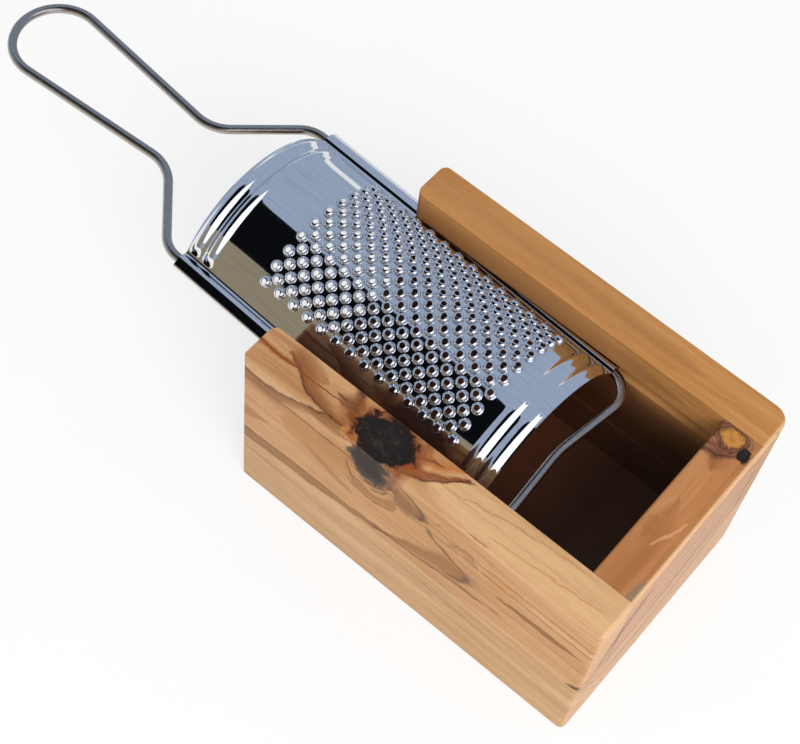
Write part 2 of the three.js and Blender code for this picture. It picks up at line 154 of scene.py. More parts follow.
def round_edges(
    piece: bpy.types.Object,
    wanted: Callable[[Vector, Vector], bool],
    radius: float,
    segments: int = 5,
) -> None:
    """Round the edges that a test picks.

    Args:
        piece: The object whose edges are rounded.
        wanted: A test that takes an edge's two ends, in metres.
        radius: The rounding's radius in millimetres.
        segments: How many faces go round the rounding.
    """
    make_active(piece)
    bpy.ops.object.mode_set(mode="EDIT")
    bpy.ops.mesh.select_mode(type="EDGE")
    bpy.ops.mesh.select_all(action="DESELECT")
    if select_edges(piece, wanted):
        bpy.ops.mesh.bevel(
            offset=radius * MM, segments=segments, profile=0.5, affect="EDGES", clamp_overlap=True)
    bpy.ops.object.mode_set(mode="OBJECT")


def block(name: str, low: Sequence[float], high: Sequence[float]) -> bpy.types.Object:
    """Add a box between two corners, with its place in its mesh.

    Args:
        name: The new object's name.
        low: The lowest corner in millimetres.
        high: The highest corner in millimetres.

    Returns:
        The new object.
    """
    deselect_all()
    middle = [(a + b) / 2 * MM for a, b in zip(low, high)]
    bpy.ops.mesh.primitive_cube_add(size=1, location=middle)
    piece = bpy.context.object
    piece.name = name
    piece.scale = [(b - a) * MM for a, b in zip(low, high)]
    bpy.ops.object.transform_apply(location=True, rotation=True, scale=True)
    return piece


def cut(piece: bpy.types.Object, tool: bpy.types.Object) -> None:
    """Cut one solid out of another and remove the cutter.

    Args:
        piece: The solid that stays.
        tool: The solid that is cut out of it.
    """
    apply_modifier(piece, "BOOLEAN", "cut", operation="DIFFERENCE", object=tool, solver="EXACT")
    bpy.data.objects.remove(tool)


def smooth_by_angle(piece: bpy.types.Object, degrees: float) -> None:
    """Shade smooth, with sharp edges where faces meet at more than an angle.

    Args:
        piece: The object to shade.
        degrees: The angle past which an edge stays sharp.
    """
    make_active(piece)
    bpy.ops.object.shade_smooth_by_angle(angle=math.radians(degrees))


def mesh_piece(
    name: str, points: Iterable[Vector], faces: Iterable[Sequence[int]]
) -> bpy.types.Object:
    """Make an object from points in metres and faces.

    Args:
        name: The new object's name.
        points: The corners.
        faces: The corners of each face by number, anticlockwise as seen from outside.

    Returns:
        The new object, linked to the scene.
    """
    data = bpy.data.meshes.new(name)
    data.from_pydata([tuple(point) for point in points], [], [tuple(face) for face in faces])
    data.update()
    piece = bpy.data.objects.new(name, data)
    bpy.context.scene.collection.objects.link(piece)
    return piece


# Finishes


def linear(code: str, alpha: float = 1.0) -> tuple[float, float, float, float]:
    """Turn an sRGB hex colour to linear light.

    Args:
        code: Six hex digits after a hash mark.
        alpha: How much it covers what lies under it.

    Returns:
        Red, green, blue and the alpha.
    """
    parts = [int(code[index:index + 2], 16) / 255 for index in (1, 3, 5)]
    red, green, blue = (
        value / 12.92 if value <= 0.04045 else ((value + 0.055) / 1.055) ** 2.4 for value in parts)
    return red, green, blue, alpha


MATH = "ShaderNodeMath"
VECTOR = "ShaderNodeVectorMath"
NOISE = "ShaderNodeTexNoise"
RAMP = "ShaderNodeValToRGB"
MIX = "ShaderNodeMixRGB"
RANGE = "ShaderNodeMapRange"
CURVE = "ShaderNodeFloatCurve"
JOIN = "ShaderNodeCombineXYZ"
SPLIT = "ShaderNodeSeparateXYZ"


class Tree:
    """The node tree of a material or of the room, built node by node."""

    def __init__(self, owner: bpy.types.Material | bpy.types.World) -> None:
        """Start an empty tree.

        Args:
            owner: The material or world that the tree belongs to.
        """
        owner.use_nodes = True
        self.owner = owner
        self.tree = owner.node_tree
        self.tree.nodes.clear()

    def add(
        self,
        kind: str,
        *inputs: object,
        named: dict[str, object] | None = None,
        stops: Sequence[tuple[float, str, float]] = (),
        points: Sequence[tuple[float, float]] = (),
        **settings: object,
    ) -> bpy.types.Node:
        """Add a node with its settings and links.

        Args:
            kind: Blender's name for the node's type.
            *inputs: Values, sockets or nodes for the first inputs in order. A node stands for its
                first output.
            named: The same for inputs by name.
            stops: A colour ramp's places, each with its hex colour and how much it covers.
            points: A float curve's points.
            **settings: The node's properties by name.

        Returns:
            The new node.
        """
        node = self.tree.nodes.new(kind)
        for key, value in settings.items():
            setattr(node, key, value)
        for key, value in [*enumerate(inputs), *(named or {}).items()]:
            if isinstance(value, bpy.types.Node):
                value = value.outputs[0]
            if isinstance(value, bpy.types.NodeSocket):
                self.tree.links.new(value, node.inputs[key])
            else:
                node.inputs[key].default_value = value
        if stops:
            elements = node.color_ramp.elements
            while len(elements) < len(stops):
                elements.new(1.0)
            for element, (place, code, alpha) in zip(elements, stops):
                element.position = place
                element.color = linear(code, alpha)
        if points:
            curve = node.mapping.curves[0]
            for place in points[2:]:
                curve.points.new(*place)
            for point, place in zip(curve.points, sorted(points)):
                point.location = place
                point.handle_type = "AUTO_CLAMPED"
            node.mapping.extend = "HORIZONTAL"
            node.mapping.update()
        return node

    def place(self) -> bpy.types.Node:
        """Add the place on the piece, in millimetres.

        Returns:
            The node with the place.
        """
        metres = self.add("ShaderNodeTexCoord").outputs["Object"]
        return self.add(VECTOR, metres, (1 / MM, 1 / MM, 1 / MM), operation="MULTIPLY")


@dataclass(frozen=True)
class Noise:
    """One layer of noise.

    The pace is how often it changes in each direction, and the scale how often it changes in all.
    """

    detail: float
    roughness: float = 0.5
    pace: tuple[float, float, float] = (1.0, 1.0, 1.0)
    scale: float = 1.0
    distortion: float = 0.0

    def over(self, tree: Tree, place: bpy.types.Node) -> bpy.types.Node:
        """Add the layer over places.

        Args:
            tree: The finish's node tree.
            place: The places in millimetres.

        Returns:
            The node with the noise, which is about 0.5 on average.
        """
        paced = tree.add(VECTOR, place, self.pace, operation="MULTIPLY")
        return tree.add(NOISE, paced, named={
            "Scale": self.scale, "Detail": self.detail, "Roughness": self.roughness,
            "Distortion": self.distortion})


class Profile(Enum):
    """How a streak of the figure looks from one side to the other.

    Each stop is a place from 0 to 1 across the streak, whether it has the line's colour, and how
    much it covers.
    """

    VEIN = (
        (0.0, True, 0.0), (0.4, True, 0.0), (0.48, True, 1.0), (0.55, False, 1.0), (0.74, False, 0.8),
        (1.0, False, 0.0))
    UNDER = (
        (0.0, False, 0.0), (0.27, False, 0.75), (0.45, False, 1.0), (0.52, True, 1.0), (0.6, True, 0.0),
        (1.0, True, 0.0))
    BAND = (
        (0.0, True, 0.0), (0.13, True, 0.95), (0.27, False, 0.95), (0.73, False, 0.9), (0.87, True, 1.0),
        (1.0, True, 0.0))
    PATCH = ((0.0, False, 0.0), (0.3, False, 0.9), (0.7, False, 0.95), (1.0, False, 0.0))
    SMEAR = ((0.0, False, 0.0), (0.5, False, 0.95), (1.0, False, 0.0))
    LINE = ((0.0, True, 0.0), (0.5, True, 1.0), (1.0, True, 0.0))


@dataclass(frozen=True)
class Streak:
    """One dark or brown streak of the wood's figure.

    The points are place along the board, place up its face and half width, in millimetres. A
    streak that runs across has its points in order up the face.
    """

    profile: Profile
    points: tuple[tuple[float, float, float], ...]
    line: str = "#7A5238"
    fill: str = "#A87A4A"
    strength: float = 1.0
    across: bool = False

    def stops(self) -> list[tuple[float, str, float]]:
        """Turn its profile to the stops of a colour ramp.

        Returns:
            Each stop's place, its colour and how much it covers.
        """
        return [
            (place, self.line if dark else self.fill, cover * self.strength)
            for place, dark, cover in self.profile.value]


@dataclass(frozen=True)
class Knot:
    """One knot: an oval of dark wood that the grain bends round.

    Its middle and its half axes are in millimetres. Ragged is how far its rim strays, as a share
    of a half axis, and bend how strongly it pushes the grain aside.
    """

    along: float
    face: float
    half_along: float
    half_face: float
    stops: tuple[tuple[float, str, float], ...]
    ragged: float
    bend: float
    fleck: str


# The layers of the grain, whose directions are along, across and into it
GRAIN_DRIFT = Noise(3.0, pace=(0.02, 0.07, 0.05))
GRAIN_BROAD = Noise(3.0, 0.55, (0.018, 0.16, 0.08))
GRAIN_LINES = Noise(4.0, 0.6, (0.02, 0.9, 0.3))
GRAIN_HAIRS = Noise(3.0, 0.7, (0.08, 2.6, 2.0))
GRAIN_PORES = Noise(1.0, pace=(0.5, 5.5, 5.5))
FIGURE_TREMBLE = Noise(4.0, 0.62, scale=0.35)
KNOT_RIM = Noise(3.0, 0.55, scale=0.4, distortion=0.6)
KNOT_FLECKS = Noise(4.0, 0.62, scale=0.55, distortion=1.2)

# How the layers add up, and how far the grain drifts in millimetres
NOISE_MIDDLE = 0.5
DRIFT_REACH = 7.0
LINES_WEIGHT = 0.6
HAIRS_WEIGHT = 0.5
BLEND_MIDDLE = 1.05
BLEND_SPREAD = 0.36
TONE_PLACES = (0.0, 0.35, 0.65, 1.0)
PORE_DEPTH = -1.5
BUMP_STRENGTH = 0.25
BUMP_HEIGHT = 0.06 * MM
OIL_IOR = 1.47
OIL_SHEEN = 0.2

# Each range is a value's low and high, and the low and high that they become
WHOLE = (0.0, 1.0)
PORE_RANGE = (0.66, 0.74, 0.0, 0.35)
WEAR_RANGE = (0.3, 0.6, 0.78, 1.0)
SATIN_RANGE = (0.3, 0.7, 0.48, 0.62)
STREAK_END_RANGE = (0.0003, 0.0025, *WHOLE)
KNOT_INSIDE_RANGE = (0.44, 0.34, *WHOLE)
FLECK_RANGE = (0.5, 0.68, 0.0, 0.6)
CLOSED_END_RANGE = (44.1, 44.5, *WHOLE)
# Painted highlight along the closed end's top outer edge
EDGE_HIGHLIGHT_RANGE = (95.3, 95.6, 0.0, 0.5)
# Painted warm light inside the box, stronger towards its open end
WARM_LIGHT_RANGE = (26.0, 4.0, 0.0, 0.75)

# Where streaks may lie, in millimetres, and how far the lines of the figure stray
FIGURE_LOW = (-46.0, 0.0, 0.0)
FIGURE_SPAN = (92.0, 64.0, 1.0)
LEAST_WIDTH = 1e-5
FIGURE_STRAY = (3.2, 1.7, 0.0)
END_FACE_STRAY = (3.0, 1.6, 0.0)
END_FACE_SEED = 5.0
END_FACE_PALENESS = 0.62

# Painted shade in the hollow inside the box: its mask's edge width, and the shade's ramp from the pocket's
# floor upwards, which covers more of the wood further down
SHADED_HOLLOW_EDGE = (0.35, 0.1)
PAINTED_HOLLOW_SHADE = (
    (0.08, "#5A4034", 0.0), (0.14, "#5A4034", 0.97), (0.64, "#442C20", 0.96), (0.82, "#553526", 0.85),
    (0.91, "#6E4A30", 0.55), (1.0, "#8A5E3A", 0.0))
# The tint of the painted warm light inside the box
WARM_LIGHT_TONE = "#FFB080"
PORE_TONE = "#7A4F30"
# The colour of the painted highlight on the closed end's top outer edge
PAINTED_EDGE_HIGHLIGHT = "#F0C896"


@dataclass(frozen=True)
class OliveWood:
    """Olive wood, planed, sanded and oiled.

    Its grain is fine and wavy, cream to orange brown with darker veins, and it bends round knots.
    The oil deepens the colour and leaves a satin surface with open pores. The figure is laid out
    on the board's face and carried over its edge onto the top, because both show one growth. Painted
    shade fills the hollow inside the box up to half a width, a length and a height, in millimetres.
    """

    name: str
    tones: tuple[str, str, str, str]
    end_tone: str
    shaded_hollow: tuple[float, float, float]
    seed: float
    along_axis: tuple[float, float, float] = (1, 0, 0)
    face_axis: tuple[float, float, float] = (0, 1, 1)
    face_start: float = 31.5
    contrast: float = 1.2
    streaks: tuple[Streak, ...] = ()
    knots: tuple[Knot, ...] = ()

    def dress(self, piece: bpy.types.Object) -> None:
        """Give the wood to a board.

        Args:
            piece: The board.
        """
        tree = Tree(bpy.data.materials.new(self.name))
        add = tree.add
        place = tree.place()
        along = add(VECTOR, place, self.along_axis, operation="DOT_PRODUCT").outputs["Value"]
        rise = add(VECTOR, place, self.face_axis, operation="DOT_PRODUCT").outputs["Value"]
        face = add(MATH, rise, self.face_start, operation="ADD")
        grain = self.grain(tree, place, along, face)
        lines = GRAIN_LINES.over(tree, grain)
        hairs = GRAIN_HAIRS.over(tree, grain)
        pits = add(RANGE, GRAIN_PORES.over(tree, grain), *PORE_RANGE)
        wear = add(RANGE, hairs, *WEAR_RANGE)
        colour = self.plain(tree, GRAIN_BROAD.over(tree, grain), lines, hairs)
        colour = add(MIX, pits, colour, linear(PORE_TONE))
        colour = self.figure(tree, along, face, wear, colour)
        colour = self.end_face(tree, place, wear, colour)
        # Painted shade and painted warm light inside the box
        colour = self.paint_hollow_shade(tree, place, colour)
        height = add(MATH, pits, PORE_DEPTH, hairs, operation="MULTIPLY_ADD")
        bump = add("ShaderNodeBump", named={
            "Strength": BUMP_STRENGTH, "Distance": BUMP_HEIGHT, "Height": height})
        shader = add("ShaderNodeBsdfPrincipled", named={
            "Base Color": colour, "Roughness": add(RANGE, lines, *SATIN_RANGE), "Normal": bump,
            "IOR": OIL_IOR, "Specular IOR Level": OIL_SHEEN})
        add("ShaderNodeOutputMaterial", shader)
        piece.data.materials.clear()
        piece.data.materials.append(tree.owner)

    def grain(
        self, tree: Tree, place: bpy.types.Node, along: bpy.types.NodeSocket, face: bpy.types.Node
    ) -> bpy.types.Node:
        """Lay out the grain, which bends round the knots and drifts to and fro.

        Args:
            tree: The wood's node tree.
            place: The place in millimetres.
            along: Place along the board in millimetres.
            face: Place up its face in millimetres.

        Returns:
            The node with the place along, across and into the grain.
        """
        add = tree.add
        across = face
        for knot in self.knots:
            beside = self.off_middle(tree, along, knot.along, knot.half_along)
            above = self.off_middle(tree, face, knot.face, knot.half_face)
            square = add(MATH, above, above, operation="MULTIPLY")
            square = add(MATH, beside, beside, square, operation="MULTIPLY_ADD")
            pull = add(MATH, knot.bend, add(MATH, square, 1.0, operation="MAXIMUM"), operation="DIVIDE")
            shift = add(MATH, above, -knot.half_face, operation="MULTIPLY")
            across = add(MATH, pull, shift, across, operation="MULTIPLY_ADD")
        depth_axis = Vector(self.along_axis).cross(Vector(self.face_axis))
        depth = add(VECTOR, place, depth_axis, operation="DOT_PRODUCT").outputs["Value"]
        grain = add(JOIN, along, across, add(MATH, depth, self.seed, operation="ADD"))
        drift = add(MATH, GRAIN_DRIFT.over(tree, grain), NOISE_MIDDLE, operation="SUBTRACT")
        drift = add(MATH, drift, DRIFT_REACH, operation="MULTIPLY")
        return add(VECTOR, grain, add(JOIN, 0.0, drift, 0.0), operation="ADD")

    @staticmethod
    def off_middle(
        tree: Tree, value: bpy.types.Node | bpy.types.NodeSocket, middle: float, half: float
    ) -> bpy.types.Node:
        """Measure how far a place is from a middle.

        Args:
            tree: The wood's node tree.
            value: The place in millimetres.
            middle: The middle in millimetres.
            half: The length that counts as one, in millimetres.

        Returns:
            The node with the distance.
        """
        off = tree.add(MATH, value, middle, operation="SUBTRACT")
        return tree.add(MATH, off, half, operation="DIVIDE")

    def plain(
        self, tree: Tree, broad: bpy.types.Node, lines: bpy.types.Node, hairs: bpy.types.Node
    ) -> bpy.types.Node:
        """Colour the plain grain.

        Args:
            tree: The wood's node tree.
            broad: The grain's broad bands.
            lines: Its lines.
            hairs: Its finest lines.

        Returns:
            The node with the colour.
        """
        blend = tree.add(MATH, lines, LINES_WEIGHT, broad, operation="MULTIPLY_ADD")
        blend = tree.add(MATH, hairs, HAIRS_WEIGHT, blend, operation="MULTIPLY_ADD")
        spread = BLEND_SPREAD / self.contrast
        level = tree.add(RANGE, blend, BLEND_MIDDLE - spread, BLEND_MIDDLE + spread)
        return tree.add(RAMP, level, stops=[(at, tone, 1.0) for at, tone in zip(TONE_PLACES, self.tones)])

    @staticmethod
    def streaked(
        tree: Tree, spot: bpy.types.Node, streaks: Sequence[Streak], wear: bpy.types.Node,
        colour: bpy.types.Node,
    ) -> bpy.types.Node:
        """Lay streaks over a colour.

        Args:
            tree: The wood's node tree.
            spot: Place along and up a face in millimetres.
            streaks: The streaks, the lowest first.
            wear: How much of a streak the fine grain lets through.
            colour: The colour that they lie on.

        Returns:
            The node with the streaks laid on.
        """
        add = tree.add
        shares = add(VECTOR, spot, FIGURE_LOW, operation="SUBTRACT")
        split = add(SPLIT, add(VECTOR, shares, FIGURE_SPAN, operation="DIVIDE"))
        for streak in streaks:
            run, rise = (1, 0) if streak.across else (0, 1)
            starts, middles = (
                [(point[axis] - FIGURE_LOW[axis]) / FIGURE_SPAN[axis] for point in streak.points]
                for axis in (run, rise))
            widths = [max(point[2] / FIGURE_SPAN[rise], LEAST_WIDTH) for point in streak.points]
            middle = add(CURVE, 1.0, split.outputs[run], points=list(zip(starts, middles)))
            width = add(CURVE, 1.0, split.outputs[run], points=list(zip(starts, widths)))
            off = add(MATH, split.outputs[rise], middle, operation="SUBTRACT")
            off = add(MATH, off, width, operation="DIVIDE")
            ramp = add(RAMP, add(MATH, off, 0.5, 0.5, operation="MULTIPLY_ADD"), stops=streak.stops())
            cover = add(RANGE, width, *STREAK_END_RANGE)
            cover = add(MATH, ramp.outputs["Alpha"], cover, operation="MULTIPLY")
            colour = add(MIX, add(MATH, cover, wear, operation="MULTIPLY"), colour, ramp)
        return colour

    @staticmethod
    def straying(
        tree: Tree, spot: bpy.types.Node, reach: tuple[float, float, float]
    ) -> bpy.types.Node:
        """Shift places a little to and fro, so that drawn lines look grown.

        Args:
            tree: The wood's node tree.
            spot: The places in millimetres.
            reach: How far they shift in each direction.

        Returns:
            The node with the shifted places.
        """
        stray = FIGURE_TREMBLE.over(tree, spot).outputs["Color"]
        stray = tree.add(VECTOR, stray, (NOISE_MIDDLE,) * 3, operation="SUBTRACT")
        return tree.add(VECTOR, stray, reach, spot, operation="MULTIPLY_ADD")

    def figure(
        self, tree: Tree, along: bpy.types.NodeSocket, face: bpy.types.Node, wear: bpy.types.Node,
        colour: bpy.types.Node,
    ) -> bpy.types.Node:
        """Lay the streaks and the knots over the plain grain.

        Args:
            tree: The wood's node tree.
            along: Place along the board in millimetres.
            face: Place up its face in millimetres.
            wear: How much of a streak the fine grain lets through.
            colour: The plain grain's colour.

        Returns:
            The node with the colour of grain, streaks and knots.
        """
        add = tree.add
        spot = self.straying(tree, add(JOIN, along, face, self.seed), FIGURE_STRAY)
        colour = self.streaked(tree, spot, self.streaks, wear, colour)
        for knot in self.knots:
            off = add(VECTOR, spot, (knot.along, knot.face, self.seed), operation="SUBTRACT")
            off = add(VECTOR, off, (knot.half_along, knot.half_face, 1.0), operation="DIVIDE")
            far = add(VECTOR, off, operation="LENGTH").outputs["Value"]
            rim = add(MATH, KNOT_RIM.over(tree, spot), NOISE_MIDDLE, operation="SUBTRACT")
            reach = add(MATH, rim, knot.ragged, far, operation="MULTIPLY_ADD")
            reach = add(MATH, reach, 0.5, operation="MULTIPLY")
            layer = add(RAMP, reach, stops=knot.stops)
            colour = add(MIX, layer.outputs["Alpha"], colour, layer)
            flecks = add(RANGE, KNOT_FLECKS.over(tree, spot), *FLECK_RANGE)
            flecks = add(MATH, flecks, add(RANGE, reach, *KNOT_INSIDE_RANGE), operation="MULTIPLY")
            colour = add(MIX, flecks, colour, linear(knot.fleck))
        return colour

    def end_face(
        self, tree: Tree, place: bpy.types.Node, wear: bpy.types.Node, colour: bpy.types.Node
    ) -> bpy.types.Node:
        """Pale the box's closed end, which shows end grain and veins, and paint a highlight along its top
        outer edge.

        Args:
            tree: The wood's node tree.
            place: The place in millimetres.
            wear: How much of a streak the fine grain lets through.
            colour: The colour so far.

        Returns:
            The node with the end face's colour.
        """
        add = tree.add
        split = add(SPLIT, place)
        spot = add(JOIN, split.outputs["Y"], split.outputs["Z"], END_FACE_SEED)
        spot = self.straying(tree, spot, END_FACE_STRAY)
        pale = add(MIX, END_FACE_PALENESS, colour, linear(self.end_tone))
        veined = self.streaked(tree, spot, END_FACE_STREAKS, wear, pale)
        colour = add(MIX, add(RANGE, split.outputs["X"], *CLOSED_END_RANGE), colour, veined)
        # Painted highlight along the top outer edge of the closed end
        corner = add(MATH, split.outputs["X"], split.outputs["Z"], operation="ADD")
        return add(MIX, add(RANGE, corner, *EDGE_HIGHLIGHT_RANGE), colour, linear(PAINTED_EDGE_HIGHLIGHT))

    def paint_hollow_shade(self, tree: Tree, place: bpy.types.Node, colour: bpy.types.Node) -> bpy.types.Node:
        """Paint shade inside the box, darker further down, with painted warm light towards its open end.

        Args:
            tree: The wood's node tree.
            place: The place in millimetres.
            colour: The colour so far.

        Returns:
            The node with the darkened colour.
        """
        half_width, end, top = self.shaded_hollow
        outer, inner = SHADED_HOLLOW_EDGE
        add = tree.add
        split = add(SPLIT, place)
        across = add(MATH, split.outputs["Y"], operation="ABSOLUTE")
        within = add(RANGE, across, half_width + outer, half_width + inner)
        before = add(RANGE, split.outputs["X"], end + outer, end + inner)
        # Painted shade, laid over the wood by height, most of it low inside the box
        hollow_shade = add(RAMP, add(MATH, split.outputs["Z"], top, operation="DIVIDE"), stops=PAINTED_HOLLOW_SHADE)
        # Painted warm light: a warm tint that grows towards the box's open end
        warm_lit = add(MIX, 1.0, hollow_shade, linear(WARM_LIGHT_TONE), blend_type="MULTIPLY")
        shade = add(MIX, add(RANGE, split.outputs["X"], *WARM_LIGHT_RANGE), hollow_shade, warm_lit)
        cover = add(MATH, within, before, operation="MULTIPLY")
        cover = add(MATH, cover, hollow_shade.outputs["Alpha"], operation="MULTIPLY")
        return add(MIX, cover, colour, shade)


# The marks' noise that is told apart, and where they are brightest
MARKS_SEEN = (0.3, 0.7)
MARKS_BRIGHTEST = 0.8


@dataclass(frozen=True)
class Steel:
    """Stainless steel, drawn to wire or rolled and polished.

    It mirrors the room in a cool grey. Drawing leaves the wire satin, and polishing leaves the
    sheet a mirror with a faint swell from the rolls and the presses. The marks are those of the
    drawing or the polishing, and the swell's height and length are in millimetres.
    """

    name: str
    tone: str
    bright_tone: str
    roughness: tuple[float, float]
    marks: Noise
    swell: float
    swell_length: float

    def dress(self, piece: bpy.types.Object) -> None:
        """Give the steel to a piece.

        Args:
            piece: The wire or the sheet.
        """
        tree = Tree(bpy.data.materials.new(self.name))
        add = tree.add
        place = tree.place()
        marks = self.marks.over(tree, place)
        low, high = MARKS_SEEN
        tint = add(RAMP, marks, stops=((low, self.tone, 1.0), (MARKS_BRIGHTEST, self.bright_tone, 1.0)))
        wave = Noise(1.0, scale=1 / self.swell_length).over(tree, place)
        bump = add("ShaderNodeBump", named={"Strength": 1.0, "Distance": self.swell * MM, "Height": wave})
        shader = add("ShaderNodeBsdfPrincipled", named={
            "Base Color": tint, "Roughness": add(RANGE, marks, low, high, *self.roughness),
            "Normal": bump, "Metallic": 1.0})
        add("ShaderNodeOutputMaterial", shader)
        piece.data.materials.clear()
        piece.data.materials.append(tree.owner)


WIRE_STEEL = Steel(
    "drawn stainless wire", "#ACA6A0", "#B8B2AC", roughness=(0.25, 0.28),
    marks=Noise(3.0, 0.6, (0.8, 0.8, 0.8)), swell=0.002, swell_length=8.0)
SHEET_STEEL = Steel(
    "polished stainless sheet", "#DCDEE2", "#F2F2F2", roughness=(0.035, 0.075),
    marks=Noise(3.0, 0.6, (0.08, 1.6, 1.6)), swell=0.012, swell_length=9.0)

BURNT_RING = (
    (0.0, "#4E2413", 1.0), (0.44, "#3A1A10", 1.0), (0.5, "#5A2A14", 0.9), (0.57, "#8A4A22", 0.7),
    (0.68, "#A4622E", 0.4), (0.84, "#A8683A", 0.0))
BLACK_KNOT = (
    (0.0, "#231E1B", 1.0), (0.42, "#1E1917", 1.0), (0.47, "#281A14", 0.9), (0.53, "#3A1C10", 0.0))
GREY_KNOT = (
    (0.0, "#332A25", 1.0), (0.25, "#372E28", 1.0), (0.4, "#41362E", 0.97), (0.46, "#523F36", 0.9),
    (0.52, "#6E5040", 0.6), (0.62, "#94704E", 0.0))
EYE_KNOT = (
    (0.0, "#B47A3A", 1.0), (0.28, "#C08640", 1.0), (0.38, "#A06A34", 0.95), (0.45, "#50302A", 0.95),
    (0.52, "#7E5036", 0.85), (0.59, "#46292A", 0.9), (0.67, "#8E5C3A", 0.6), (0.74, "#5A3836", 0.6),
    (0.84, "#A87040", 0.0))
